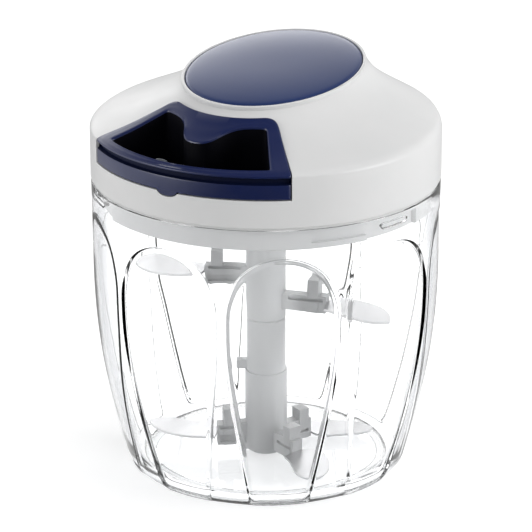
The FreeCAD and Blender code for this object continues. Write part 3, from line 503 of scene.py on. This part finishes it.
def eased(share, column):
    """Height of one column of the lid top at a share of the way in, on a smooth line."""
    rows = [(row[0], row[column]) for row in DOME]
    last = len(rows) - 1
    slopes = []
    for i in range(last + 1):
        before, after = rows[max(i - 1, 0)], rows[min(i + 1, last)]
        slopes.append((after[1] - before[1]) / (after[0] - before[0]))
    i = max(k for k in range(last) if rows[k][0] <= share)
    span = rows[i + 1][0] - rows[i][0]
    t = (share - rows[i][0]) / span
    return (
        rows[i][1] * (1 + 2 * t) * (1 - t) ** 2
        + rows[i + 1][1] * t * t * (3 - 2 * t)
        + span * slopes[i] * t * (1 - t) ** 2
        - span * slopes[i + 1] * t * t * (1 - t)
    )


def dome_ring(share, inset=0.0, rise=0.0):
    """Oval of the lid top at a share of the way in, as ring() takes it."""
    tilt = math.radians(CAP_TILT)
    half = (LID_RADIUS - inset) * (1 - share)
    half += (CAP_LENGTH + BEAD - inset) * math.cos(tilt) * share
    width = (LID_RADIUS - inset) * (1 - share) + (CAP_WIDTH + BEAD - inset) * share
    near, far = eased(share, 1), eased(share, 2)
    drop = math.atan2((far - near) / 2, half)
    height = CREASE + (near + far) / 2 + rise
    return half / math.cos(drop), width, (CAP_BACK + 0.2) * share, height, math.degrees(drop)


def cap_ring(rise, growth):
    """Oval parallel to the cap's plane, at a height off it, as ring() takes it."""
    tilt = math.radians(CAP_TILT)
    y = CAP_BACK - rise * math.sin(tilt)
    z = CAP_HEIGHT + rise * math.cos(tilt)
    return CAP_LENGTH + growth, CAP_WIDTH + growth, y, z, CAP_TILT


HALVINGS = 26


def dome_height(x, y):
    """Height of the lid's top over a place in plan."""
    low, high = 0.0, 1.0
    for _ in range(HALVINGS):
        share = (low + high) / 2
        length, width, centre, z, drop = dome_ring(share)
        half = length * math.cos(math.radians(drop))
        if (x / width) ** 2 + ((y - centre) / half) ** 2 > 1:
            high = share
        else:
            low = share
    return z + math.tan(math.radians(drop)) * (y - centre)


# Shares of the way in at which the lid top has rings, outside and inside
TOP_RINGS = [0.006, 0.012, 0.02, 0.032, 0.045, 0.06, 0.08, 0.1, 0.125, 0.15, 0.2, 0.25, 0.3]
TOP_RINGS += [0.35, 0.4, 0.45, 0.5, 0.55, 0.6, 0.65, 0.7, 0.74, 0.78, 0.82, 0.86, 0.9, 0.94, 0.97]
UNDER_RINGS = [row[0] for row in DOME[1:-1]]

# The bead round the cap: rise off the cap's plane and growth past the cap's outline
BEAD_RINGS = [
    (-BEAD, BEAD), (-0.6, BEAD), (-0.2, BEAD - 0.15), (0, BEAD - 0.55), (0, BEAD - 0.95),
    (-0.15, 0.25), (-0.5, 0.12), (-2.6, 0.12),
]
BAND_ROUND, SKIRT_ROUND = 0.5, 0.4


def lid_blank():
    """The lid's closed shell, before the recess and the bayonet ways are cut."""
    bm = bmesh.new()
    hollow, rounded = LID_RADIUS - LID_WALL, SKIRT_BOTTOM + SKIRT_ROUND
    under = [(r, r, 0, z) for r, z in (
        (hollow, 137.0), (hollow, CEILING), (SKIRT_INNER, CEILING), (SKIRT_INNER, rounded),
        (SKIRT_INNER + SKIRT_ROUND, SKIRT_BOTTOM), (SKIRT_RADIUS - SKIRT_ROUND, SKIRT_BOTTOM),
        (SKIRT_RADIUS, rounded), (SKIRT_RADIUS, BAND_BOTTOM),
        (LID_RADIUS - BAND_ROUND, BAND_BOTTOM), (LID_RADIUS, BAND_BOTTOM + BAND_ROUND),
        (LID_RADIUS, CREASE - 0.4), (LID_RADIUS - 0.04, CREASE - 0.17),
    )]
    inside = [dome_ring(share, LID_WALL, -1.6) for share in UNDER_RINGS]
    inside.append(cap_ring(-5.5, -LID_WALL))
    outside = [dome_ring(share) for share in TOP_RINGS] + [cap_ring(*step) for step in BEAD_RINGS]
    closed(bm, lofted(bm, inside[::-1] + under + outside))
    return bm


def column(spots, bottom, top, grow=0.0):
    """Upright solid over a closed line in plan, moved outward by grow."""
    bm = bmesh.new()
    count = len(spots)
    moved = []
    for i, spot in enumerate(spots):
        way = spots[(i + 1) % count] - spots[i - 1]
        side = Vector((way.y, -way.x, 0)).normalized()
        moved.append(Vector((spot.x, spot.y, bottom)) + side * grow)
    corners = [bm.verts.new(spot) for spot in moved]
    face = bm.faces.new(corners)
    longer = bmesh.ops.extrude_face_region(bm, geom=[face])["geom"]
    fresh = [item for item in longer if isinstance(item, bmesh.types.BMVert)]
    bmesh.ops.translate(bm, vec=(0, 0, top - bottom), verts=fresh)
    bmesh.ops.recalc_face_normals(bm, faces=bm.faces)
    return bm


def make_lid():
    """White lid: its shell with the handle's recess and three bayonet ways cut out."""
    outer, _ = handle_outlines()
    past_band = LID_RADIUS - 0.5
    front = [spot * (1 + 4 / spot.length) if spot.length > past_band else spot for spot in outer]
    tools = [column(front, HANDLE_BOTTOM - 0.25, 170, HANDLE_GAP), tab_solid(0.4)]
    for third in range(3):
        middle = LUG_TURN + 120 * third
        entry = (SKIRT_BOTTOM - 1, WAY_TOP, WAY_ANGLE, middle, 12)
        run = (WAY_SILL, WAY_TOP, WAY_ANGLE + LOCK_ANGLE, middle - LOCK_ANGLE / 2, 24)
        tools += [sector(WAY_INNER, WAY_OUTER, *entry), sector(WAY_INNER, WAY_OUTER, *run)]
    bm = carved(lid_blank(), tools)
    finished(bm, "white_lid", "lid", lid_white, ["lid_shell"], 30)


def make_liner():
    """Liner of the recess in near-black painted shade, cut off under the lid's skin and behind its
    band.
    """
    room = bmesh.new()
    radius = LID_RADIUS - LID_WALL - 0.1
    rings = [(radius, radius, 0, 110.0), (radius, radius, 0, 136.9)]
    rings += [dome_ring(share, LID_WALL + 0.1, -1.75) for share in UNDER_RINGS]
    closed(room, lofted(room, rings))
    bm = carved(from_node("handle_well"), [room], "INTERSECT")
    finished(bm, "recess_liner", "lid", well_painted_shade, ["handle_well"], 30)


# The cap, from its underside to its middle: rise off its plane and growth past its outline
CAP_RINGS = [
    (-2.4, -0.15), (-1.0, -0.15), (-0.6, -0.2), (-0.3, -0.4), (-0.05, -0.75), (0.12, -1.2),
    (0.25, -1.9), (0.45, -3.4), (0.85, -8), (1.2, -14), (1.4, -20), (1.5, -26), (1.53, -31),
]


def make_cap():
    """Blue oval cap with a rounded edge and a low crown."""
    bm = bmesh.new()
    closed(bm, lofted(bm, [cap_ring(*step) for step in CAP_RINGS]))
    finished(bm, "oval_cap", "lid", cap_blue_painted_light, ["top_cap"])


# Handle

# Points along the front, each side and the back of the grip's outlines
FRONT_POINTS, SIDE_POINTS, BACK_POINTS = 96, 48, 72

# Half of the back of the finger opening, with the tongue's round front, in plan
OPENING_BACK = [
    (21.8, -34.8), (17.3, -36.7), (13.3, -38.8), (10.6, -41.1), (8.7, -43.8), (7.2, -46.6),
    (5.4, -49.2), (2.8, -50.6), (0, -50.8),
]
OPENING_RADIUS, OPENING_HALF = 64.2, 33.0
ARC_STEPS, BEND_STEPS = 24, 10

# Sides of the grip, with a lip and a groove along the front: inset of the front, and height
GRIP_SIDES = (
    (0.6, HANDLE_BOTTOM), (0.05, HANDLE_BOTTOM + 0.5), (0.0, 134.6), (0.15, 135.1),
    (1.9, 135.5), (1.9, 137.4), (0.3, 137.7), (0.05, 137.9),
)

# Rounding of the grip's outer and inner top edges: way across the frame, and drop
OUTER_ROUND = ((0.0, 0.45), (0.12, 0.2), (0.4, 0.05), (0.8, 0.0))
INNER_ROUND = ((0.8, 0.0), (0.4, 0.08), (0.12, 0.35), (0.0, 0.8))

# Tab under the grip's front: place in plan, half width, half height, length
TAB_PLACE, TAB_WIDTH, TAB_HEIGHT, TAB_LENGTH = (-1.2, -63.4), 4.3, 2.1, 3.9
NUB_TURN = -5.2


def along(points, count):
    """Points at even steps along a line of straight runs, without its last point."""
    runs = [(b - a).length for a, b in zip(points, points[1:])]
    total = sum(runs)
    spots = []
    for k in range(count):
        rest = total * k / count
        i = 0
        while rest > runs[i]:
            rest -= runs[i]
            i += 1
        spots.append(points[i].lerp(points[i + 1], rest / runs[i]))
    return spots


def polar(radius, direction):
    """Point in plan at a distance from the upright axis."""
    angle = math.radians(direction)
    return Vector((radius * math.sin(angle), -radius * math.cos(angle), 0))


def arc_points(radius, start, stop):
    """Points on an arc about the upright axis."""
    return [polar(radius, start + (stop - start) * k / ARC_STEPS) for k in range(ARC_STEPS + 1)]


def mirrored(spots):
    return [Vector((-spot.x, spot.y, 0)) for spot in spots]


def smoothed(points, times):
    """Closed line with its corners cut, keeping the number of points."""
    for _ in range(times):
        count = len(points)
        points = [
            points[i] * 0.5 + (points[i - 1] + points[(i + 1) % count]) * 0.25
            for i in range(count)
        ]
    return points


def bend(start, corner, stop):
    """Points on a round corner between two places."""
    shares = [k / BEND_STEPS for k in range(BEND_STEPS + 1)]
    return [start * (1 - t) ** 2 + corner * 2 * t * (1 - t) + stop * t * t for t in shares]


def handle_outlines():
    """Outer and inner outline of the grip frame in plan, with matching points."""
    half, back_half = HANDLE_HALF, HANDLE_HALF - 1.2
    ends = [polar(LID_RADIUS, half), polar(HANDLE_BACK + 4.6, back_half)]
    back = arc_points(HANDLE_BACK, back_half - 7.5, 7.5 - back_half)
    back = bend(ends[1], polar(HANDLE_BACK, back_half), back[0])[:-1] + back
    back += mirrored(back[9::-1])
    outer = along(arc_points(LID_RADIUS, -half, half), FRONT_POINTS)
    outer += along(ends, SIDE_POINTS)
    outer += along(back, BACK_POINTS)
    outer += along(mirrored(ends[::-1]), SIDE_POINTS)
    rear = [Vector((x, y, 0)) for x, y in OPENING_BACK]
    rear += mirrored(rear[-2::-1])
    inner = along(arc_points(OPENING_RADIUS, -OPENING_HALF, OPENING_HALF), FRONT_POINTS)
    inner += along([polar(OPENING_RADIUS, OPENING_HALF), rear[0]], SIDE_POINTS)
    inner += along(rear, BACK_POINTS)
    inner += along([rear[-1], polar(OPENING_RADIUS, -OPENING_HALF)], SIDE_POINTS)
    return smoothed(outer, 2), smoothed(inner, 5)


def grip_height(x, y):
    """Height of the grip's top over a place in plan: nearly flush in front, proud at the back."""
    share = min(max((66 - math.hypot(x, y)) / 22, 0), 1)
    return dome_height(x, y) + 0.5 + 0.9 * share * share * (3 - 2 * share)


def tab_solid(grow=0.0):
    """Rounded tab under the middle of the grip's front."""
    bm = bmesh.new()
    x, y = TAB_PLACE
    place = (
        Matrix.Translation((x, y + grow, HANDLE_BOTTOM + 0.5))
        @ Matrix.Rotation(math.radians(90), 4, "X")
        @ Matrix.Diagonal((TAB_WIDTH + grow, TAB_HEIGHT + grow, 1, 1))
    )
    bmesh.ops.create_circle(bm, cap_ends=True, segments=40, radius=1, matrix=place)
    longer = bmesh.ops.extrude_face_region(bm, geom=bm.faces[:])["geom"]
    fresh = [item for item in longer if isinstance(item, bmesh.types.BMVert)]
    bmesh.ops.translate(bm, vec=(0, -TAB_LENGTH - 4 * grow, 0), verts=fresh)
    bmesh.ops.recalc_face_normals(bm, faces=bm.faces)
    return bm


def closed_loop(bm, spots):
    """Edges round a closed line of points."""
    corners = [bm.verts.new(spot) for spot in spots]
    return [bm.edges.new((a, b)) for a, b in zip(corners, corners[1:] + corners[:1])]


def make_handle():
    """Blue grip frame whose top follows the lid, with a lip and a groove along its front."""
    outer, inner = handle_outlines()
    tops = [grip_height(spot.x, spot.y) for spot in outer]
    inner_tops = [grip_height(spot.x, spot.y) for spot in inner]
    front = [1.0 if spot.length > LID_RADIUS - 1 else 0.0 for spot in outer]
    ways = [(b - a).normalized() for a, b in zip(outer, inner)]
    bm = bmesh.new()
    loops = []

    def side(inward, height):
        """Loop round the outside at a height, set inward only along the front."""
        spots = []
        for i, spot in enumerate(outer):
            place = spot * (1 - inward * front[i] / spot.length)
            spots.append(Vector((place.x, place.y, height)))
        loops.append(closed_loop(bm, spots))

    def rim(line, levels, inward, drop, way):
        """Loop along a top edge, moved across the frame and lowered."""
        spots = []
        for i, spot in enumerate(line):
            place = spot + ways[i] * inward * way
            spots.append(Vector((place.x, place.y, levels[i] - drop)))
        loops.append(closed_loop(bm, spots))

    for inward, height in GRIP_SIDES:
        side(inward, height)
    for inward, drop in OUTER_ROUND:
        rim(outer, tops, inward, drop, 1)
    for share in (0.3, 0.5, 0.7):
        spots = []
        for a, b in zip(outer, inner):
            place = a.lerp(b, share)
            spots.append(Vector((place.x, place.y, grip_height(place.x, place.y))))
        loops.append(closed_loop(bm, spots))
    for inward, drop in INNER_ROUND:
        rim(inner, inner_tops, inward, drop, -1)
    for inward, height in ((0.0, HANDLE_BOTTOM + 0.3), (0.3, HANDLE_BOTTOM)):
        spots = [spot - ways[i] * inward for i, spot in enumerate(inner)]
        loops.append(closed_loop(bm, [Vector((spot.x, spot.y, height)) for spot in spots]))
    for low, high in zip(loops, loops[1:] + loops[:1]):
        bmesh.ops.bridge_loops(bm, edges=low + high)
    bmesh.ops.recalc_face_normals(bm, faces=bm.faces)
    tab = to_object(tab_solid(), "tab")
    bm.from_mesh(tab.data)
    bpy.data.objects.remove(tab)
    for face in bm.faces:
        middle = face.calc_center_median()
        near_wall = min((middle.xy - spot.xy).length for spot in inner) < 0.9
        below_edge = middle.z < grip_height(middle.x, middle.y) - 1.4
        # Painted shade: the opening's inner walls below the top edge take the near-black finish
        if near_wall and below_edge and abs(face.normal.z) < 0.5:
            face.material_index = 1
        # Painted shade: the groove along the front takes the dark navy finish
        elif 64 < middle.xy.length < 66.6 and 135.2 < middle.z < 137.8 and middle.y < -48:
            face.material_index = 2
    piece = finished(bm, "grip_frame", "handle", handle_blue, ["pull_handle"], 40)
    piece.data.materials.append(well_painted_shade)
    piece.data.materials.append(groove_painted_shade)


def make_nub():
    """Pale grey bump on the inner edge of the grip's front."""
    bm = bmesh.new()
    spot = polar(OPENING_RADIUS - 0.3, NUB_TURN)
    place = (
        Matrix.Translation((spot.x, spot.y, grip_height(spot.x, spot.y) - 0.35))
        @ Matrix.Rotation(math.radians(NUB_TURN), 4, "Z")
        @ Matrix.Diagonal((2.7, 0.8, 0.6, 1))
    )
    bmesh.ops.create_uvsphere(bm, u_segments=32, v_segments=16, radius=1, matrix=place)
    finished(bm, "front_nub", "handle", nub_grey, (), 60)


# Bowl

BOWL_WALL = 2.5
FOOT_RADIUS, FOOT_LIP = 50.4, 0.3

# Radius and height of the outside at the heel, the belly, the shoulder and the rim
HEEL, BELLY, SHOULDER, RIM = (56.4, 8.5), (64.4, 43.0), (67.2, 100.0), (67.4, 117.5)

# The spun wall's rows below the flutes' shoulder, and those over it
WALL_ROWS = [1.6, 6.0, 11, 17, 23, 30, 38, 46, 54, 62, 71, 79, 87]
NECK_ROWS = [93, 99, 105, 111, 117.0]
FLUTE_SHOULDER, NECK_TOP = WALL_ROWS[-1], NECK_ROWS[-2]

# Share of the arch's height by which the rows near the shoulder are lifted
ARCH_LIFT = {87: 1.0, 79: 0.62, 71: 0.36, 62: 0.18, 54: 0.07}

FLUTES = 9
FLUTE_TURN = -2.9
SPIN_STEPS = 108
STEP = 360 / SPIN_STEPS
COLUMNS = SPIN_STEPS // FLUTES

# A flute's half width by height, its arch, and the wall's columns as shares of the way across
FLUTE_WIDTHS = [
    (1, 10.9), (6, 12.2), (11, 13.1), (23, 15.2), (36, 17.4), (50, 19.8), (60, 21.3), (70, 22.1),
    (87, 22.2),
]
FLUTE_HALF, ARCH_RISE = 22.2, 20.0
ARCH_RADIUS = (FLUTE_HALF ** 2 + ARCH_RISE ** 2) / (2 * ARCH_RISE)
ACROSS = [0, 0.3, 0.57, 0.8, 1.0]
EDGE_ROOM = 3.6

# Width and depth of the steps that sink a flute
FLUTE_EDGE = ((0.5, -1.2), (0.4, 0.0), (1.3, 0.7))


def belly_radius(z):
    """Radius of the bowl's outside: one arc from the heel through the belly to the shoulder."""
    (r1, z1), (r2, z2), (r3, z3) = HEEL, BELLY, SHOULDER
    a, b = r2 - r1, z2 - z1
    c, d = r3 - r1, z3 - z1
    e = a * (r1 + r2) + b * (z1 + z2)
    f = c * (r1 + r3) + d * (z1 + z3)
    g = 2 * (a * (z3 - z2) - b * (r3 - r2))
    centre_r = (d * e - b * f) / g
    centre_z = (a * f - c * e) / g
    radius = math.hypot(r1 - centre_r, z1 - centre_z)
    return centre_r + math.sqrt(radius ** 2 - (z - centre_z) ** 2)


def outside_radius(z):
    """Radius of the bowl's outside, from the foot's round to the straight neck."""
    if z >= SHOULDER[1]:
        return SHOULDER[0] + (RIM[0] - SHOULDER[0]) * (z - SHOULDER[1]) / (RIM[1] - SHOULDER[1])
    if z >= HEEL[1]:
        return belly_radius(z)
    share = max(z - FOOT_LIP, 0) / (HEEL[1] - FOOT_LIP)
    return FOOT_RADIUS + (HEEL[0] - FOOT_RADIUS) * math.sqrt(1 - (1 - share) ** 2)


def flute_half_width(z):
    """Half width of a flute at a height below its arch."""
    for (z1, w1), (z2, w2) in zip(FLUTE_WIDTHS, FLUTE_WIDTHS[1:]):
        if z <= z2:
            return w1 + (w2 - w1) * (z - z1) / (z2 - z1)
    return FLUTE_HALF


def bowl_profile():
    """Section of wall and floor, from the axis under the floor round the rim to the boss."""
    under = [(0, 0.8), (24, 0.8), (43.6, 0.8)]
    groove = [(44.2, 0.9), (44.2, 1.4), (47.9, 1.4), (47.9, FOOT_LIP)]
    outside = [(outside_radius(z), z) for z in [FOOT_LIP] + WALL_ROWS + NECK_ROWS]
    rim = [(67.3, 117.4), (67.0, 117.5), (65.3, 117.5), (65.0, 117.4), (64.9, 117.0)]
    lug_seat = [(64.85, 115.4), (64.8, 114.6), (64.75, 112.0), (64.7, 111.2)]
    rows = [105, 99, 93] + WALL_ROWS[:2:-1] + [12]
    inside = [(outside_radius(z) - BOWL_WALL, z) for z in rows]
    floor = [(53.7, 8.3), (52.4, 6.0), (50.4, 4.2), (47.6, 3.0), (43, 2.6), (24, 2.6)]
    boss = [(5.2, 2.6), (4.3, 2.8), (4.15, 3.6), (3.9, 9.6), (3.6, 9.95), (2.2, 10)]
    socket = [(2.05, 9.8), (2.05, 2.2), (0, 2.2)]
    return under + groove + outside + rim + lug_seat + inside + floor + boss + socket


def spun(profile):
    """Solid of revolution whose columns stand on the flutes' middles and ribs."""
    bm = bmesh.new()
    start = Matrix.Rotation(math.radians(FLUTE_TURN - 90), 4, "Z")
    corners = [bm.verts.new(start @ Vector((r, 0, z))) for r, z in profile]
    line = [bm.edges.new(pair) for pair in zip(corners, corners[1:])]
    bmesh.ops.spin(
        bm, geom=corners + line, cent=(0, 0, 0), axis=(0, 0, 1),
        angle=math.radians(360), steps=SPIN_STEPS, use_merge=True,
    )
    bmesh.ops.remove_doubles(bm, verts=bm.verts, dist=0.001)
    return bm


def draw_to_flute(corner):
    """Move a corner of the outer wall onto a flute's outline. True if it lies in the flute."""
    height = corner.co.z
    direction = math.degrees(math.atan2(corner.co.x, -corner.co.y)) - FLUTE_TURN
    step = round(direction / STEP)
    half = COLUMNS // 2
    column = (step + half) % COLUMNS - half
    middle = FLUTE_TURN + (step - column) * STEP
    side = 1 if column > 0 else -1
    column = abs(column)
    wide = flute_half_width(height)
    off = (wide - EDGE_ROOM) * ACROSS[column] if column < len(ACROSS) else wide
    level = min(off * FLUTE_HALF / wide, FLUTE_HALF)
    arch = math.sqrt(ARCH_RADIUS ** 2 - level ** 2) - ARCH_RADIUS + ARCH_RISE
    turn = 180 / FLUTES if column == half else math.degrees(math.asin(off / corner.co.xy.length))
    over = height > FLUTE_SHOULDER + 0.5
    if over:
        neck = NECK_TOP - FLUTE_SHOULDER
        share = (height - FLUTE_SHOULDER) / neck
        z = FLUTE_SHOULDER + arch + (neck - arch) * share
        turn = turn * (1 - share) + STEP * column * share
    else:
        row = min(WALL_ROWS, key=lambda z: abs(z - height))
        z = height + arch * ARCH_LIFT.get(row, 0)
    angle = math.radians(middle + side * turn)
    r = outside_radius(z)
    corner.co = (r * math.sin(angle), -r * math.cos(angle), z)
    return not over and column < half


def is_outer_wall(corner):
    radius, height = corner.co.xy.length, corner.co.z
    on_wall = abs(radius - outside_radius(height)) < 0.01
    return on_wall and radius > FOOT_RADIUS + 0.05 and height < NECK_ROWS[-1] - 0.1


def sink_flutes(bm, faces):
    """Lower the flutes into the wall, with rounded edges in a clear finish with darker painted edge
    shade.
    """
    bmesh.ops.inset_region(bm, faces=faces, thickness=0.15, use_even_offset=True)
    for width, depth in FLUTE_EDGE:
        made = bmesh.ops.inset_region(
            bm, faces=faces, thickness=width, depth=depth, use_even_offset=True
        )
        # The steps take the clear finish with darker painted edge shade
        for face in made["faces"]:
            face.material_index = 1
    bmesh.ops.inset_region(bm, faces=faces, thickness=0.5, use_even_offset=True)


def raise_lugs(bm):
    """Three bayonet lugs on the inside of the rim."""
    lugs = []
    for face in bm.faces:
        middle = face.calc_center_median()
        direction = math.degrees(math.atan2(middle.x, -middle.y)) - LUG_TURN
        off = (direction + 60) % 120 - 60
        if 112.1 < middle.z < 114.5 and middle.xy.length < 65 and abs(off) < 7.4:
            lugs.append(face)
    for width, depth in ((0.3, 0.0), (0.1, 1.5), (0.3, 0.0)):
        bmesh.ops.inset_region(bm, faces=lugs, thickness=width, depth=depth, use_even_offset=True)


def make_bowl():
    """Clear bowl: spun wall and floor, whose grid is drawn along nine arched flutes."""
    bm = spun(bowl_profile())
    wall = [corner for corner in bm.verts if is_outer_wall(corner)]
    fluted = {corner for corner in wall if draw_to_flute(corner)}
    flutes = [face for face in bm.faces if fluted.issuperset(face.verts)]
    rim_inside = [spot for spot in bm.verts if spot.co.z > 111.5 and spot.co.xy.length < 64.95]
    lean = LUG_TURN - FLUTE_TURN + 11 * STEP
    bmesh.ops.rotate(bm, matrix=Matrix.Rotation(math.radians(lean), 3, "Z"), verts=rim_inside)
    bmesh.ops.recalc_face_normals(bm, faces=bm.faces)
    sink_flutes(bm, flutes)
    raise_lugs(bm)
    piece = finished(bm, "fluted_bowl", "bowl", clear, ["bowl"], 180)
    piece.data.materials.append(clear_edge_shade)
    smooth = piece.modifiers.new("smooth", "SUBSURF")
    smooth.levels = 2
    smooth.render_levels = 2


# Cord

CORD_RADIUS = 1.0
CORD_START, CORD_LENGTH, CORD_PARTS = -31.2, 6.4, 24


def make_lead():
    """Cord between the eyelet and the knot."""
    bm = bmesh.new()
    place = (
        Matrix.Translation((0, CORD_START, CORD_HEIGHT)) @ Matrix.Rotation(math.radians(90), 4, "X")
    )
    made = bmesh.ops.create_circle(bm, segments=16, radius=CORD_RADIUS, matrix=place)
    loop = list({edge for corner in made["verts"] for edge in corner.link_edges})
    for _ in range(CORD_PARTS):
        longer = bmesh.ops.extrude_edge_only(bm, edges=loop)["geom"]
        fresh = [item for item in longer if isinstance(item, bmesh.types.BMVert)]
        bmesh.ops.translate(bm, vec=(0, -CORD_LENGTH / CORD_PARTS, 0), verts=fresh)
        loop = [item for item in longer if isinstance(item, bmesh.types.BMEdge)]
        loop = [edge for edge in loop if all(corner in fresh for corner in edge.verts)]
    bmesh.ops.recalc_face_normals(bm, faces=bm.faces)
    bmesh.ops.scale(bm, vec=(MM, MM, MM), verts=bm.verts)
    piece = to_object(bm, "pull_cord")
    piece.data.shade_smooth()
    piece.data.materials.append(cord_thread)
    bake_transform(piece)
    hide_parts("cord_lead")


# Studio

ROOM_LIGHT = 0.45
FLOOR_HALF = 6

# Brightness that gloss sees, from the far side (0) to the camera's side (1)
WALL_STOPS = [(0.0, 1.0), (0.36, 1.0), (0.55, 0.9), (0.72, 0.45), (0.9, 0.03)]
FLOOR_STOPS = [(0.0, 0.35), (0.12, 0.5), (0.3, 0.9), (0.55, 0.8), (0.8, 0.42), (0.93, 0.0)]

# and from the horizon (0) to straight up (1)
HEIGHT_STOPS = [
    (0.0, 1.0), (0.3, 1.0), (0.42, 0.9), (0.56, 0.5), (0.71, 0.25), (0.87, 0.1), (1.0, 0.08),
]

# Soft boxes: direction, distance, height, width, height of the face, power
LAMPS = {
    "left_lamp": (CAMERA_TURN - 66, 1.0, 0.45, 0.55, 0.55, 2.9),
    "right_lamp": (CAMERA_TURN + 68, 1.0, 0.45, 0.55, 0.55, 4.8),
    "back_lamp": (CAMERA_TURN - 168, 1.3, 0.55, 1.1, 0.35, 2.8),
    "top_lamp": (CAMERA_TURN + 120, 0.35, 1.3, 0.9, 0.9, 4.4),
}


def room_level(tree, way, stops):
    """Brightness of the room as gloss sees it: dark behind the camera, white at the sides."""
    turn = math.radians(CAMERA_TURN)
    unit = tree.vector("NORMALIZE", way).outputs["Vector"]
    toward = (math.sin(turn) / 2, -math.cos(turn) / 2, 0)
    ahead = tree.vector("DOT_PRODUCT", unit, toward).outputs["Value"]
    return tree.ramp(tree.math("ADD", ahead, 0.5), stops)


def make_floor():
    """White floor that keeps the object's shadow; gloss sees it dark on the camera's side."""
    bm = bmesh.new()
    bmesh.ops.create_grid(bm, x_segments=1, y_segments=1, size=FLOOR_HALF)
    floor = to_object(bm, "studio_floor")
    finish = Finish("floor_white")
    paint = finish.add("ShaderNodeBsdfDiffuse")
    finish.feed(paint, Color=(0.86, 0.86, 0.86, 1))
    path = finish.add("ShaderNodeLightPath")
    reach = finish.reach(finish.place)
    to_eye = finish.math("MULTIPLY", finish.seen(path), finish.ranged(reach, 0.25, 0.8, 0.45, 0.66))
    through_wall = finish.math("MULTIPLY", path.outputs["Is Transmission Ray"], 0.3)
    glow = finish.add("ShaderNodeEmission")
    finish.feed(glow, Strength=finish.math("ADD", to_eye, through_wall))
    white = finish.add("ShaderNodeAddShader")
    finish.join(paint.outputs["BSDF"], white.inputs[0])
    finish.join(glow.outputs["Emission"], white.inputs[1])
    level = room_level(finish, finish.flat(finish.place), FLOOR_STOPS)
    near = finish.ranged(reach, 0.08, 0.15, 1, 0)
    in_gloss = finish.add("ShaderNodeEmission")
    finish.feed(in_gloss, Strength=finish.math("MAXIMUM", level, near))
    surface = finish.either(
        finish.gloss_only(path), white.outputs["Shader"], in_gloss.outputs["Emission"]
    )
    floor.data.materials.append(finish.done(surface))


def make_room():
    """White room: even light on the object, white to the eye, and darker overhead in gloss."""
    world = bpy.data.worlds.new("white_room")
    world.use_nodes = True
    scene.world = world
    room = Nodes(world.node_tree)
    path = room.add("ShaderNodeLightPath")
    way = room.add("ShaderNodeTexCoord").outputs["Generated"]
    split = room.add("ShaderNodeSeparateXYZ")
    room.join(way, split.inputs["Vector"])
    overhead = room.ramp(split.outputs["Z"], HEIGHT_STOPS)
    in_gloss = room.math("MULTIPLY", overhead, room_level(room, way, WALL_STOPS))
    plain = room.ranged(room.seen(path), 0, 1, ROOM_LIGHT, 1.0, "LINEAR")
    strength = room.add("ShaderNodeMix")
    room.feed(strength, Factor=room.gloss_only(path), A=plain, B=in_gloss)
    light = room.add("ShaderNodeBackground")
    room.feed(light, Strength=strength.outputs["Result"])
    out = room.add("ShaderNodeOutputWorld")
    room.join(light.outputs["Background"], out.inputs["Surface"])


def make_lamps():
    """Soft boxes left, right, behind and overhead."""
    for name, (direction, distance, height, width, tall, power) in LAMPS.items():
        lamp = bpy.data.objects.new(name, bpy.data.lights.new(name, "AREA"))
        scene.collection.objects.link(lamp)
        lamp.visible_glossy = name != "top_lamp"
        lamp.data.shape = "RECTANGLE"
        lamp.data.size = width
        lamp.data.size_y = tall
        lamp.data.energy = power
        turn = math.radians(direction)
        lamp.location = (distance * math.sin(turn), -distance * math.cos(turn), height)
        aim = Vector((0, 0, 0.09)) - lamp.location
        lamp.rotation_euler = aim.to_track_quat("-Z", "Y").to_euler()


# CAD pieces that keep their shape, by finish
DRESSED = (
    (inner_white, ("inner_cover", "drive_socket")),
    (seal_white, ("lid_seal",)),
    (ring_soft, ("foot_ring",)),
    (drum_grey, ("cord_drum", "spring_cap", "pawl_right", "pawl_left", "socket_bush")),
    (pin_steel, ("pivot_pin", "spindle", "cover_screws", "pawl_pins")),
    (pin_steel, ("recoil_spring", "cord_eyelet")),
    (cord_thread, ("cord_winding", "cord_feed", "cord_knot")),
    (blade_steel, ("blade_low_left", "blade_low_front", "blade_low_back")),
    (blade_steel, ("blade_top_left", "blade_top_right")),
)


def main():
    place_camera()
    make_floor()
    make_room()
    make_lamps()
    scene.view_settings.view_transform = "Standard"
    make_bowl()
    make_lid()
    make_liner()
    make_cap()
    make_handle()
    make_nub()
    make_lead()
    softened("lower_hub", "shaft_foot", arm_hollows(FOOT_ARMS))
    softened("shaft_collar", "shaft_sleeve")
    softened("upper_hub", "shaft_top", arm_hollows(TOP_ARMS))
    for material, dressed in DRESSED:
        for node in dressed:
            for place in nodes[node].material_slots:
                place.material = material


main()
